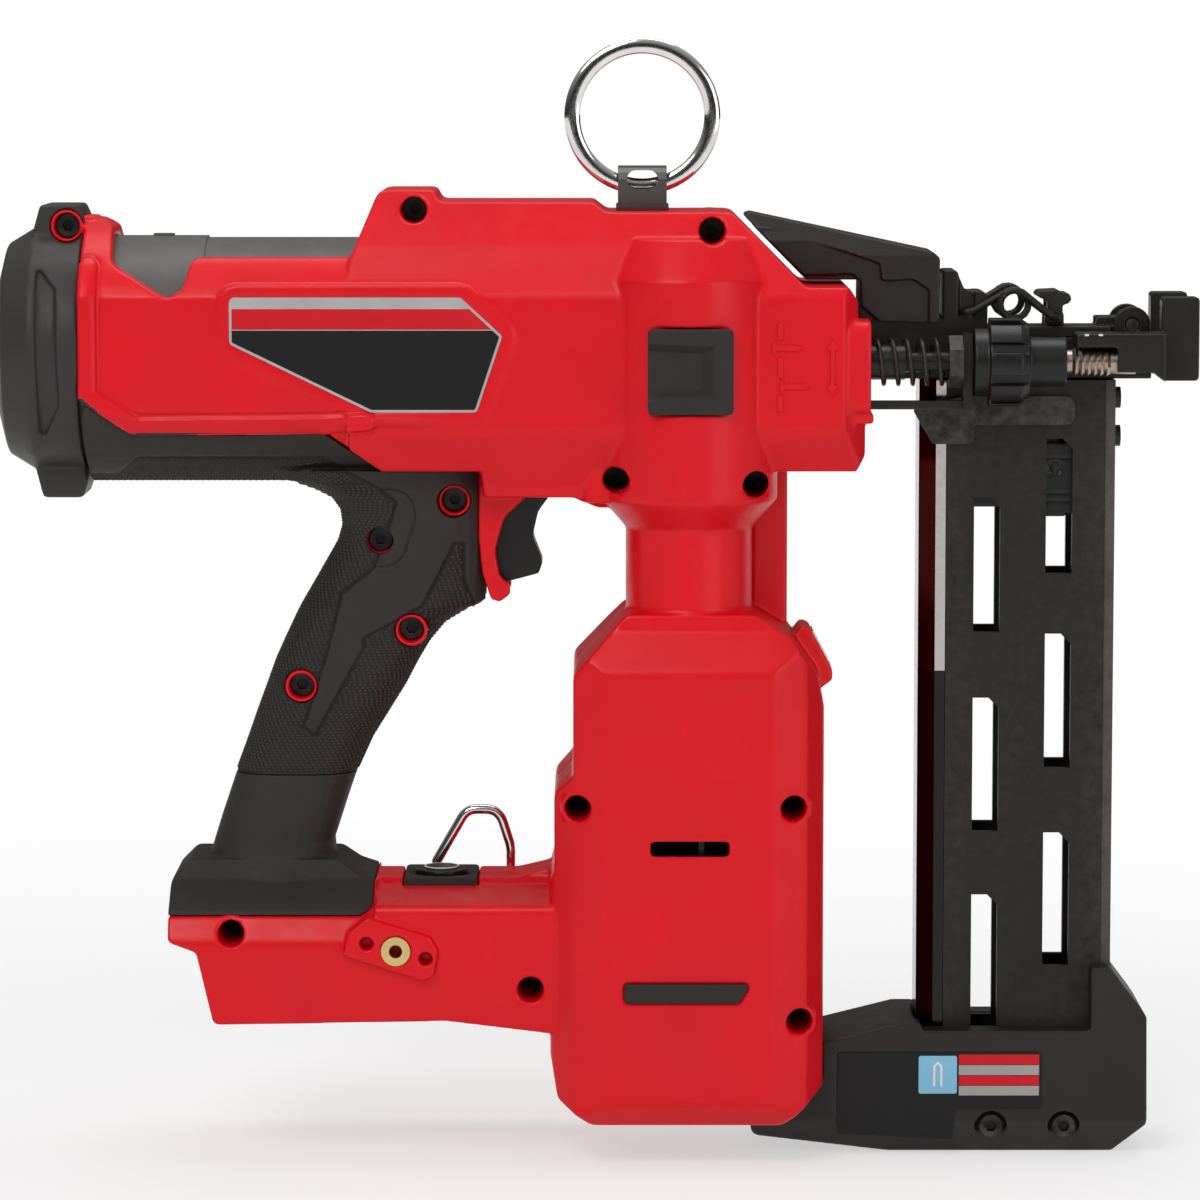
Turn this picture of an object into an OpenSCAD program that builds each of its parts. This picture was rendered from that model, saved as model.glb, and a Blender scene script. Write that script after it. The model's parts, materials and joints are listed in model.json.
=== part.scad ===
// Cordless fencing stapler with a gas spring, a motor driven lifter and a staple magazine.
// X points forward along the drive, Y to the tool's left side, Z up.
// The origin is the centre of the battery seat.

/* [Layout] */
// Height of the drive axis above the battery seat
drive_z = 199; // [197:0.5:202]
// Forward place of the motor and lifter axis
motor_x = 114.5; // [113.5:0.5:116.5]
// Forward place of the housing's front face
nose_x = 167; // [166:0.5:170]
// Wall thickness of the housing halves
wall = 2.8; // [2.4:0.1:3.2]
// Gap between fixed pieces that sit together
fit_gap = 0.15; // [0.1:0.05:0.25]
// Radial gap of a turning shaft
run_gap = 0.05; // [0.02:0.01:0.08]
// Gap between pieces that move past each other
free_gap = 0.5; // [0.4:0.05:0.7]

/* [Gas spring and driver] */
// How far the gas tank stays inside the flat sides of the body
tank_inset = 2; // [1.5:0.25:3]
// Length of the gas tank
tank_l = 110; // [100:1:120]
// Wall of the gas tank
tank_wall = 3; // [2.5:0.25:4]
// Bore radius of the drive cylinder
bore_r = 20; // [19:0.25:21]
// Wall of the drive cylinder
cylinder_wall = 2.6; // [2:0.2:3]
// Length of the piston
piston_l = 16; // [14:0.5:18]
// Width of the driver blade
blade_w = 16; // [15.6:0.1:16.4]
// Thickness of the driver blade
blade_t = 3.8; // [3.6:0.1:4]
// Distance between the teeth of the driver blade
rack_pitch = 10; // [9.9:0.05:10.1]
// Pins on the lifter, with one more place left empty
lift_pins = 7; // [6:1:7]
// Radius of a lifter pin
pin_r = 2; // [1.8:0.1:2.1]

/* [Motor and gearbox] */
// Outer radius of the stator
motor_r = 25; // [23.5:0.25:25.25]
// Length of the stator
stator_l = 48; // [42:1:50]
// Radius of the rotor
rotor_r = 12.6; // [12:0.2:13]
// Radius of the rotor shaft
rotor_shaft_r = 2.5; // [2:0.1:2.8]
// Radius of the output shaft
output_r = 6; // [5:0.25:6.5]
// Gear module
gear_module = 0.75; // [0.72:0.01:0.77]
// Teeth on the sun gear
sun_teeth = 12; // [12:3:12]
// Teeth on each planet
planet_teeth = 24; // [24:3:24]
// Width of the gears
gear_w = 11; // [9:0.5:12]
// Radius of the cooling fan
fan_r = 22; // [18:0.5:23]

/* [Housing] */
// Half width of the upper body
upper_half_w = 38; // [37.5:0.25:39]
// Thickness of the shroud round the tank
shroud_t = 6; // [5.5:0.25:7]
// Radius of the lifter bulge
bulge_r = 27.8; // [27:0.2:29]
// Radius of the neck between the body and the motor column
neck_r = 20; // [18.5:0.25:21]
// Depth of the motor column on the right of the middle plane
column_right = 48; // [47.5:0.25:50]
// Depth of the motor column on the left of the middle plane
column_left = 32; // [30:0.5:36]
// Half width of the foot
foot_half_w = 38; // [37:0.25:40]
// Half width of the battery bay
bay_half_w = 31; // [29:0.5:32]
// Depth of the battery bay
bay_depth = 12.6; // [12:0.2:14]
// Thickness of the soft skin on the grip, belly and boot
skin = 2.8; // [2.4:0.1:3.2]
// Half width of the handle at its middle
grip_half_w = 17.5; // [16.5:0.25:19]
// Half width of the handle's core
core_half_w = 12.5; // [11.5:0.25:13]

/* [Controls] */
// Half width of the trigger
trigger_half_w = 7.5; // [6.5:0.25:8]
// Radius of the trigger pin
trigger_pin_r = 2; // [1.5:0.1:2.5]
// Radius of the mode button
button_r = 8.4; // [7:0.2:8.6]
// Travel of the mode button
button_travel = 1.2; // [0.8:0.1:1.6]

/* [Nose and depth setting] */
// Half width of the nose frame
nose_half_w = 10.6; // [10.3:0.1:10.9]
// Sideways place of the depth setting axis
depth_y = 25.6; // [25.5:0.1:27]
// Drop of the depth setting axis below the drive axis
depth_drop = 2.8; // [2:0.2:3.6]
// Radius of the trip stem
stem_r = 3.2; // [2.8:0.1:3.4]
// Outer radius of the depth wheel
wheel_r = 13.9; // [13:0.1:14]
// Lobes on the depth wheel
wheel_lobes = 8; // [6:1:10]
// Radius of the depth screw
depth_screw_r = 4.5; // [4.2:0.1:4.9]
// Pitch of the depth screw
depth_pitch = 2; // [1.6:0.1:2.2]
// Travel of the contact foot
trip_travel = 6; // [5:0.5:6]
// Wire diameter of the trip spring
spring_wire = 1.3; // [1:0.1:1.5]
// Mean radius of the trip spring
spring_r = 7; // [6.8:0.1:7.6]
// Curls of the trip spring
spring_curls = 5; // [4:1:6]

/* [Magazine] */
// Length of the magazine in the feed direction
magazine_l = 207; // [205:1:208]
// Forward depth of the magazine
magazine_d = 62; // [61:0.5:63]
// Half thickness of the magazine
magazine_half_w = 13; // [12.6:0.1:13.2]
// Thickness of a magazine side plate
plate_t = 2.8; // [2:0.1:3]
// Width of a window in a side plate
window_w = 8.3; // [7:0.1:9]
// Height of a window in a side plate
window_l = 43; // [40:0.5:44]
// Half width of the magazine foot
mag_foot_half_w = 22; // [20:0.5:24]
// Height of the staple pusher
pusher_h = 23.5; // [21:0.5:25]

/* [Hardware] */
// Radius of a housing screw's head
head_r = 3.6; // [3.4:0.1:3.8]
// Radius of a housing screw's shank
shank_r = 1.8; // [1.5:0.1:1.9]
// Bore radius of the belt hook insert
insert_bore_r = 2.1; // [2:0.05:2.5]
// Outer radius of the belt hook insert
insert_r = 4.6; // [4.2:0.1:4.8]
// Mean radius of the lanyard ring
ring_r = 22.2; // [20:0.2:24]
// Wire radius of the lanyard ring
ring_wire_r = 2.6; // [2.2:0.1:2.7]
// Wire radius of the loop on the base
loop_wire_r = 1.6; // [1.4:0.1:1.8]

/* [Hidden] */
$fn = 48;
press = 25;
far = 70;
tank_r = upper_half_w - tank_inset;
shroud_r = tank_r + shroud_t;
lift_places = lift_pins + 1;
lift_r = rack_pitch * lift_places / (2 * PI);
tooth_over_pitch = 1;
lift_y = -(blade_w / 2 - tooth_over_pitch + lift_r);
stroke = rack_pitch * lift_pins;
rack_gap = 2 * pin_r + 1.8;
tooth_h = tooth_over_pitch + pin_r + 0.4;
tank_front = 16;
tank_back = tank_front - tank_l;
shroud_back = tank_back + 18;
cylinder_back = tank_back + 24;
cylinder_front = 50;
end_plate = 4;
bumper_l = 15;
piston_front = cylinder_front - end_plate - bumper_l - 2 - stroke;
piston_back = piston_front - piston_l;
socket_l = 8;
blade_tip = nose_x + 24;
blade_slot_half_w = blade_w / 2 + free_gap;
blade_slot_half_t = blade_t / 2 + free_gap;
flange_t = 3;
flange_r = lift_r + pin_r + 1.1;
flange_z0 = drive_z - blade_t / 2 - 2 * free_gap - flange_t;
flange_z1 = drive_z + blade_t / 2 + 2 * free_gap + flange_t;
frame_gap = 2.1;
frame_plate = 6;
frame_z0 = flange_z0 - frame_gap - frame_plate;
frame_z1 = flange_z1 + frame_gap + frame_plate;
frame_right = wall + 2.2 - upper_half_w;
frame_left = 12;
bearing_r = output_r + 3.5;
bearing_w = 6;
ring_teeth = sun_teeth + 2 * planet_teeth;
planet_orbit = gear_module * (sun_teeth + planet_teeth) / 2;
ring_pitch_r = gear_module * ring_teeth / 2;
ring_outer_r = ring_pitch_r + gear_module + 2.6;
gear_z = 61;
case_z0 = gear_z - 5;
case_z1 = gear_z + gear_w + 3;
planet_pin_r = 2;
carrier_t = 4;
carrier_z0 = gear_z + gear_w + free_gap + 0.5;
press_gap = 0.02;
stator_z0 = -18;
stator_z1 = stator_z0 + stator_l;
air_gap = 0.7;
fan_z0 = stator_z1 + 8;
fan_h = 9;
motor_bearing_r = 8;
low_bearing_z = -33;
neck_bearing_z = 126;
depth_z = drive_z - depth_drop;
mag_x0 = nose_x + 20.6;
mag_x1 = mag_x0 + magazine_d;
mag_top = drive_z - 9.4;
mag_bottom = mag_top - magazine_l - 20;
rail_split_z = 97;
rail_depth = 8.4;
strip_t = 3.2;
channel_half_w = magazine_half_w - plate_t;
spring_x0 = nose_x + 4.4;
spring_x1 = nose_x + 28.5;

// Corner work on outlines. A point is [a, b] or [a, b, corner radius].
function unit2(v) = v / norm(v);
function left_of(v) = [-v[1], v[0]];
function xy(p) = [p[0], p[1]];
function ones(p) = [for (q = p) 1];
function turn_sign(p) =
    let (n = len(p))
    sign([for (i = [0:n - 1]) cross(xy(p[i]), xy(p[(i + 1) % n]))] * ones(p));
function corner_arc(a, p, b, r, n) =
    let (u = unit2(a - p),
         v = unit2(b - p),
         half = acos(u * v) / 2,
         c = p + unit2(u + v) * r / sin(half),
         s = p + u * r / tan(half) - c,
         e = p + v * r / tan(half) - c,
         a0 = atan2(s[1], s[0]),
         d = atan2(e[1], e[0]) - a0,
         sweep = d > 180 ? d - 360 : d < -180 ? d + 360 : d)
    [for (i = [0:n]) c + r * [cos(a0 + sweep * i / n), sin(a0 + sweep * i / n)]];
function rounded(p, n = 3) =
    let (m = len(p))
    [for (i = [0:m - 1])
        let (r = p[i][2])
        each (r == undef || r <= 0) ? [xy(p[i])]
            : corner_arc(xy(p[(i + m - 1) % m]), xy(p[i]), xy(p[(i + 1) % m]), r, n)];
function inset(p, d) =
    let (m = len(p), s = turn_sign(p))
    [for (i = [0:m - 1])
        let (e1 = unit2(xy(p[i]) - xy(p[(i + m - 1) % m])),
             e2 = unit2(xy(p[(i + 1) % m]) - xy(p[i])),
             n1 = s * left_of(e1),
             n2 = s * left_of(e2),
             q = xy(p[i]) + d * (n1 + n2) / (1 + n1 * n2),
             bend = s * cross(e1, e2) > 0 ? d : -d,
             r = p[i][2] == undef ? 0 : p[i][2])
        [q[0], q[1], max(0, r - (r > 0 ? bend : 0))]];
function raised(p, z) = [for (q = p) [q[0], q[1] + z, q[2]]];
function shifted(p, x) = [for (q = p) [q[0] + x, q[1], q[2]]];
function polar(r, a) = [r * cos(a), r * sin(a)];

// Extrusions along the three axes.
module side(p, y0, y1) {
    translate([0, y1, 0]) rotate([90, 0, 0]) linear_extrude(y1 - y0) polygon(p);
}
module plan(p, z0, z1) {
    translate([0, 0, z0]) linear_extrude(z1 - z0) polygon(p);
}
module section(p, x0, x1) {
    translate([x0, 0, 0]) rotate([90, 0, 90]) linear_extrude(x1 - x0) polygon(p);
}
module xcyl(r, x0, x1, y = 0, z = drive_z) {
    translate([x0, y, z]) rotate([0, 90, 0]) cylinder(r = r, h = x1 - x0);
}
module ycyl(r, y0, y1, x, z) {
    translate([x, y0, z]) rotate([-90, 0, 0]) cylinder(r = r, h = y1 - y0);
}
module zcyl(r, z0, z1, x = motor_x, y = lift_y) {
    translate([x, y, z0]) cylinder(r = r, h = z1 - z0);
}
module box(lo, hi) {
    translate(lo) cube(hi - lo);
}
module both_sides() {
    children();
    mirror([0, 1, 0]) children();
}
module turned(p, y = 0, z = drive_z) {
    translate([0, y, z]) rotate([0, 90, 0]) rotate_extrude() polygon(p);
}
module pipe_z(r_out, r_in, z0, z1, x = motor_x, y = lift_y) {
    difference() {
        zcyl(r_out, z0, z1, x, y);
        zcyl(r_in, z0 - 1, z1 + 1, x, y);
    }
}
module right_half() {
    intersection() {
        children();
        box([-200, -100, -100], [300, -fit_gap / 2, 320]);
    }
}
module left_half() {
    intersection() {
        children();
        box([-200, fit_gap / 2, -100], [300, 100, 320]);
    }
}

// A round tube swept along points, its rings carried along square to the path without twist.
function unit3(v) = v / norm(v);
function path_dir(p, i) = unit3(p[min(i + 1, len(p) - 1)] - p[max(i - 1, 0)]);
function square_to(t, v) = unit3(v - t * (t * v));
function carried(p, up) =
    let (last = len(p) - 1)
    [for (i = 0, v = square_to(path_dir(p, 0), up); i <= last;
        i = i + 1, v = square_to(path_dir(p, min(i, last)), v)) v];
function ring_faces(n, s) = [
    for (i = [0:n - 2], k = [0:s - 1]) [i * s + k, (i + 1) * s + k, (i + 1) * s + (k + 1) % s],
    for (i = [0:n - 2], k = [0:s - 1]) [i * s + k, (i + 1) * s + (k + 1) % s, i * s + (k + 1) % s],
    [for (k = [0:s - 1]) k],
    [for (k = [s - 1:-1:0]) (n - 1) * s + k]];
module tube(p, r, s, up) {
    across = carried(p, up);
    pts = [for (i = [0:len(p) - 1])
        let (n = across[i], b = cross(path_dir(p, i), n))
        for (k = [0:s - 1]) p[i] + r * (cos(360 * k / s) * n + sin(360 * k / s) * b)];
    polyhedron(points = pts, faces = ring_faces(len(p), s));
}

// Gear teeth with involute flanks.
function inv_angle(a) = tan(a) * 180 / PI - a;
function half_tooth(n, r, thin) =
    let (rp = gear_module * n / 2, rb = rp * cos(press))
    90 / n - thin / rp * 90 / PI + inv_angle(press) - (r > rb ? inv_angle(acos(rb / r)) : 0);
function gear_outline(n, add, ded, thin, turn) =
    let (rp = gear_module * n / 2,
         low = rp - ded,
         top = rp + add,
         rs = [low, max(low, rp * cos(press)) * 0.4 + top * 0.6, top])
    [for (i = [0:n - 1])
        let (c = turn + 360 * i / n)
        each concat([for (j = [0:2]) polar(rs[j], c - half_tooth(n, rs[j], thin))],
                    [for (j = [2:-1:0]) polar(rs[j], c + half_tooth(n, rs[j], thin))])];
backlash = 0.08;
add_k = 0.8 * gear_module;
ded_k = gear_module;

// Outer forms of the housing. The inset d gives the cavity.
upper_top = 44;
front_top = 21;
front_low = -37;
front_swell = 2.6;
upper_outline = [
    [8, 29, 2], [17, 51, 4], [34.5, 51, 2], [36, 47.2, 2], [84.5, 47.2, 2], [88.5, upper_top, 2],
    [128, upper_top, 4], [150.5, front_top, 3], [nose_x - 3, front_top], [nose_x, front_top - 4.5],
    [nose_x, 6], [nose_x + front_swell, -19], [nose_x + front_swell, front_low + 5],
    [nose_x - 0.2, front_low], [136, front_low, 1], [134, -46], [86, -49, 2], [78, -45.6], [50, -45.6],
    [49, front_low], [17.8, front_low], [8, -29.8]];
upper_section = [
    [-upper_half_w, -24, 8], [-upper_half_w, 18, 8], [-30, 34, 8], [-19, 52], [19, 52], [30, 34, 8],
    [upper_half_w, 18, 8], [upper_half_w, -24, 8], [27, -42, 4], [24, -50], [-24, -50], [-27, -42, 4]];
front_plan = [
    [-30, -upper_half_w - 1], [nose_x - 5.1, -upper_half_w - 1], [nose_x + 3.6, 11 - upper_half_w],
    [nose_x + 3.6, upper_half_w - 11], [nose_x - 5.1, upper_half_w + 1], [-30, upper_half_w + 1]];
column_outline = [
    [-20, 118, 3], [20, 118, 2], [31.5, 111, 3], [40.5, 98, 3], [42.5, 88, 6], [42.5, -33, 3],
    [29.5, -44, 5], [-31, -44, 5], [-41.5, -36, 3], [-43.8, -22, 2], [-43.8, 33, 1], [-42.5, 37, 2],
    [-42.5, 61.5, 4], [-36.5, 67.5, 2], [-36.5, 99, 4]];
column_plan = [
    [-26.5, -column_right, 4], [26, -column_right, 4], [36.5, -column_right + 5, 4],
    [42.5, -column_right + 16, 5], [42.5, column_left - 10, 6], [34, column_left, 6], [-34, column_left, 6],
    [-44, column_left - 10, 6], [-44, -column_right + 12, 5], [-36, -column_right + 4, 4]];
column_section = [
    [-column_right, -36, 3], [-column_right, 100, 4], [lift_y - neck_r - 1, 113], [lift_y - neck_r - 1, 119],
    [8, 119], [18, 112], [column_left, 97, 4], [column_left, -38, 4], [column_left - 8, -44.5],
    [-column_right + 7, -44.5]];
foot_x1 = motor_x - 30;
foot_top = 30.8;
foot_step_x = 15.2;
step_half_w = foot_half_w + 0.3;
foot_outline = [
    [-35.6, -bay_depth, 2], [-41, 10.5, 2], [-50, 13.8, 2], [-50, 31, 4], [-44, 37.2, 3], [3, 37.2, 3],
    [9, 33, 2], [15, foot_top, 2], [60, foot_top, 3], [foot_x1, 37], [foot_x1, -17], [38, -11.3]];
foot_section = [
    [-foot_half_w, -20], [-foot_half_w, 14, 6], [-33, 23, 6], [-19, 31.5, 3], [-17, 38], [17, 38],
    [19, 31.5, 3], [33, 23, 6], [foot_half_w, 14, 6], [foot_half_w, -20]];
step_section = [
    [-step_half_w, -21], [-step_half_w, 25.3, 2.5], [-14, 28.5], [-11, foot_top], [-10.5, 38.5],
    [10.5, 38.5], [11, foot_top], [14, 28.5], [step_half_w, 25.3, 2.5], [step_half_w, -21]];
boot_zone = [[-60, 21.5], [10.8, 21.5], [14.4, 24], [15.2, 45], [-60, 45]];
handle_core = [
    [-33, 30], [-33, 41], [-26, 64], [-13.5, 100], [-6, 116], [3, 132], [8, 142], [8, drive_z - 36],
    [44.5, drive_z - 36], [44.5, 135], [38, 119], [28, 108], [20.5, 94], [10, 77], [5, 64], [-2, 41],
    [-2, 30]];
shroud_outline = [
    [shroud_back, -13.5, 1], [shroud_back + 16.5, -24.7, 2], [0.3, -24.2, 3], [17.8, -36.9, 3], [30, -36.9],
    [30, 30], [-41, 30, 3], [-43.5, 20.5, 3], [-48.6, 17.3, 2], [shroud_back + 10, 28, 3],
    [shroud_back + 9, 39, 2], [shroud_back + 4, 43], [shroud_back, 43]];
belly_outline = [
    [shroud_back + 1.2, -60], [shroud_back + 1.2, -14.7, 1], [shroud_back + 16.7, -25.4, 2], [0.1, -24.8, 3],
    [17.5, -37.4, 3], [22, -37.4], [22, -60]];
guard_back = [[47.9, -30], [47.9, -60, 6], [49, -70.3, 6], [51.8, -79]];
guard_outline = concat(guard_back, [
    [54.7, -79.8, 1], [58.3, -77, 1.5], [57.4, -74.2, 0.6], [54.6, -71.6, 2], [53.1, -63.5, 6], [56, -53, 6],
    [64, -45.4, 5], [72, -44], [72, -30]]);
guard_clear = concat(guard_back, [[100, -79], [100, -30]]);

module upper_form(d) {
    intersection() {
        side(rounded(inset(raised(upper_outline, drive_z), d)), -far, far);
        section(rounded(inset(raised(upper_section, drive_z), d)), -20, nose_x + 20);
        plan(rounded(inset(front_plan, d)), 120, 270);
    }
}
module shroud_form() {
    intersection() {
        xcyl(shroud_r, shroud_back, 30);
        box([-far * 2, -upper_half_w, 100], [40, upper_half_w, 260]);
        side(rounded(raised(shroud_outline, drive_z)), -far, far);
    }
    intersection() {
        xcyl(shroud_r - skin - fit_gap, shroud_back, 12);
        box([-far * 2, -upper_half_w, 100], [40, upper_half_w, drive_z - 18]);
    }
}
bulge_top = drive_z + 23;
bulge_low = drive_z - 46;
module bulge_form(d) {
    zcyl(bulge_r - d, bulge_low, bulge_top - d / 2);
    translate([motor_x, lift_y, bulge_top - d / 2]) cylinder(r1 = bulge_r - d, r2 = bulge_r - 8 - d, h = 13);
    translate([motor_x, lift_y, bulge_low - 9]) cylinder(r1 = neck_r - d, r2 = bulge_r - d, h = 9);
}
module column_form(d) {
    intersection() {
        side(rounded(inset(shifted(column_outline, motor_x), d)), -far, far);
        plan(rounded(inset(shifted(column_plan, motor_x), d)), -60, 130);
        section(rounded(inset(column_section, d)), motor_x - 60, motor_x + 60);
    }
}
module foot_form(d) {
    intersection() {
        side(rounded(inset(foot_outline, d)), -far, far);
        union() {
            section(rounded(inset(foot_section, d)), -60, foot_step_x + d + 0.2);
            section(rounded(inset(step_section, d)), foot_step_x + d, foot_x1);
        }
    }
}
module light_box() {
    side(rounded([[motor_x + 33.5, 108, 1], [motor_x + 36, 111.5, 1.5], [motor_x + 38.8, 110.5, 1],
        [motor_x + 46, 97, 1.5], [motor_x + 46, 94, 1], [motor_x + 38, 88], [motor_x + 30, 100]]), -11, 11);
}

cap_back = tank_back - 10;
cap_front = shroud_back - 0.3;
cap_spot = [cap_back + 22.4, drive_z + 39.4];
boss_r = 5.2;
// Screws that join the halves: [x, z, right end of the boss, left end of the boss, boss radius].
screw_spots = [
    [28, drive_z + 44.6, -20, 20, 6], [motor_x + 7, drive_z + 38.2, -24, 24, 6],
    [motor_x - 23, drive_z - 39.4, -24, 25.4, 6], [motor_x + 20.5, drive_z - 40.4, -24, 22, 6],
    [motor_x - 35, 57.3, -42, 28, 5.6], [motor_x + 32.5, 57.3, -43, 29, 5.6],
    [motor_x + 34.5, -10.4, -42, 28, 5.6], [motor_x - 50, -1.2, -36, 36, 6], [-30, 16.3, -33, 33, 6],
    [cap_spot[0], cap_spot[1], -14.7, 11, boss_r]];
// Screws of the handle: [x, z, 1 where the boss comes through the grip].
grip_spots = [[16.8, 139, 0], [40.3, drive_z - 47.3, 1], [26.5, 110.5, 1], [-8.4, 92.5, 1]];
head_h = 3;
seat_y = -6.5;
shank_end = 14;
grip_shank_end = core_half_w - 3;
recess_r = head_r + 0.5;
all_spots = concat(
    [for (s = screw_spots) [s[0], s[1], shank_end]],
    [for (s = grip_spots) [s[0], s[1], grip_shank_end]]);

module screw_recess(x, z) {
    ycyl(recess_r, -far, seat_y, x, z);
    ycyl(shank_r + fit_gap, seat_y - 1, 1, x, z);
}
module screw_pilot(x, z, end) {
    ycyl(shank_r + run_gap, -1, end + 1, x, z);
}

button_x = 35.5;
bezel_w = 23.7;
bezel_d = 28;
bezel_h = 4.2;
button_z = foot_top - bezel_h;
insert_x = 22.1;
insert_z = 11.5;
insert_l = 9;
hook_rise = 3;
hook_pad = [[5.5, 10], [7, 17, 1], [13, 22, 1], [33, 16, 1], [35.5, 11.5, 1], [34, 3.5, 1], [31, 2, 1]];
loop_y = 18;
loop_feet = [[33.2, loop_y], [57.4, loop_y]];
vent_w = 24.5;
vent_h = 4.8;
vent_z = 45;
pad_side = 26.6;
pad_z = drive_z - 4.7;
pad_t = 3;
strip_pad = [[-20.5, -3.7, 0.8], [-20.5, 2.4, 0.8], [19, 2.4, 0.8], [15.5, -3.7, 0.8]];
strip_in = 1.2;
trigger_pin_x = 60;
trigger_pin_z = drive_z - 39;
label_outline = [
    [-29, 18, 2], [43, 18, 2], [56, 6, 1.5], [48, -17.8, 1.5], [15, -17.8, 1.5], [-29, 3.5, 1.5]];
label_t = 0.5;
label_rise = 0.8;
lens_t = 1.6;
light_mid = [motor_x + 42.4, 103.7];
light_tilt = atan2(13.5, 7.2) + 90;

module on_light_face() {
    translate([light_mid[0], 0, light_mid[1]]) rotate([0, light_tilt - 90, 0]) children();
}
// The handle's core is stepped, so that the soft grip stays thick at its rounded edges.
core_step = 4;
core_inset = 3.2;
module core_form(gap) {
    side(rounded(inset(handle_core, -gap)), -core_half_w + core_step - gap, core_half_w - core_step + gap);
    side(rounded(inset(handle_core, core_inset - gap)), -core_half_w - gap, core_half_w + gap);
}
module outer_form() {
    upper_form(0);
    shroud_form();
    bulge_form(0);
    zcyl(neck_r, 108, bulge_low);
    column_form(0);
    difference() {
        foot_form(0);
        difference() {
            side(boot_zone, -far, far);
            foot_form(skin);
        }
    }
    light_box();
    box([motor_x + 20, -7, 104], [motor_x + 31.5, 7, drive_z + front_low + 4]);
    side(rounded(raised(guard_outline, drive_z)), -14, 14);
    zcyl(7, drive_z - 47, drive_z - 33, motor_x - 27, lift_y - 4);
    section(rounded(raised([[-37, -19, 4], [-37, 10.5, 4], [-14, 10.5, 2], [-14, -19, 2]], drive_z)),
        nose_x - 4, nose_x + 4);
    box([nose_x - 3.4, -34, drive_z - 21.8], [nose_x + 5, -24, drive_z - 18.6]);
    side(rounded(hook_pad), -foot_half_w - hook_rise, foot_half_w + hook_rise);
    side(rounded(inset(raised(label_outline, drive_z), -4)), -upper_half_w - label_rise, 0);
    core_form(0);
}
module cavity() {
    upper_form(wall);
    bulge_form(wall);
    zcyl(neck_r - wall, 90, bulge_low + 1);
    column_form(wall);
    intersection() {
        foot_form(skin + wall);
        box([-100, -far, wall], [foot_x1 - 14, far, 60]);
    }
    core_form(-wall);
    box([-24, -core_half_w + wall, 20], [-8, core_half_w - wall, 40]);
    box([14, -core_half_w + wall, drive_z - 45], [38.4, core_half_w - wall, drive_z - 30]);
}
module bay() {
    box([-far, -bay_half_w, -30], [42, bay_half_w, 0]);
    for (s = [-1, 1])
        box([-far, s * bay_half_w - 3, -8], [42, s * bay_half_w + 3, -4.5]);
}
module ribs() {
    intersection() {
        column_form(wall - 0.3);
        union() {
            box([0, -far, low_bearing_z], [200, far, low_bearing_z + bearing_w]);
            box([0, -far, stator_z0 + 6], [200, far, stator_z0 + 9]);
            box([0, -far, stator_z1 - 9], [200, far, stator_z1 - 6]);
            box([0, -far, gear_z + 2], [200, far, gear_z + 6]);
        }
    }
    zcyl(neck_r - wall + 0.3, neck_bearing_z, neck_bearing_z + bearing_w);
}
module rib_bores() {
    zcyl(motor_bearing_r + fit_gap, low_bearing_z - 2, low_bearing_z + bearing_w + 1);
    zcyl(motor_r + fit_gap, low_bearing_z + bearing_w + 1, stator_z1 + 1);
    zcyl(ring_outer_r + fit_gap, case_z0 - 1, case_z1 + 1);
    zcyl(bearing_r + fit_gap, neck_bearing_z - 2, neck_bearing_z + bearing_w + 2);
}
module plunger_room() {
    box([32, -4, 125], [52, 4, 137]);
}
module trigger_room() {
    plunger_room();
    side([[44, drive_z - 86], [80, drive_z - 86], [80, drive_z - 44], [70, drive_z - 30], [46, drive_z - 30],
        [42, drive_z - 46]], -trigger_half_w - free_gap, trigger_half_w + free_gap);
    ycyl(trigger_pin_r + run_gap, -11.5, 11.5, trigger_pin_x, trigger_pin_z);
}
module nose_room() {
    box([nose_x - 20, -nose_half_w - 2, frame_z0 - 1], [nose_x + 12, nose_half_w + 2, drive_z + 10.4]);
    xcyl(stem_r + free_gap, nose_x - 12, nose_x + 12, -depth_y, depth_z);
    box([nose_x - 12, -depth_y - 3, depth_z - 15.5], [nose_x + 12, -depth_y + 3, depth_z - 11.5]);
}
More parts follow.
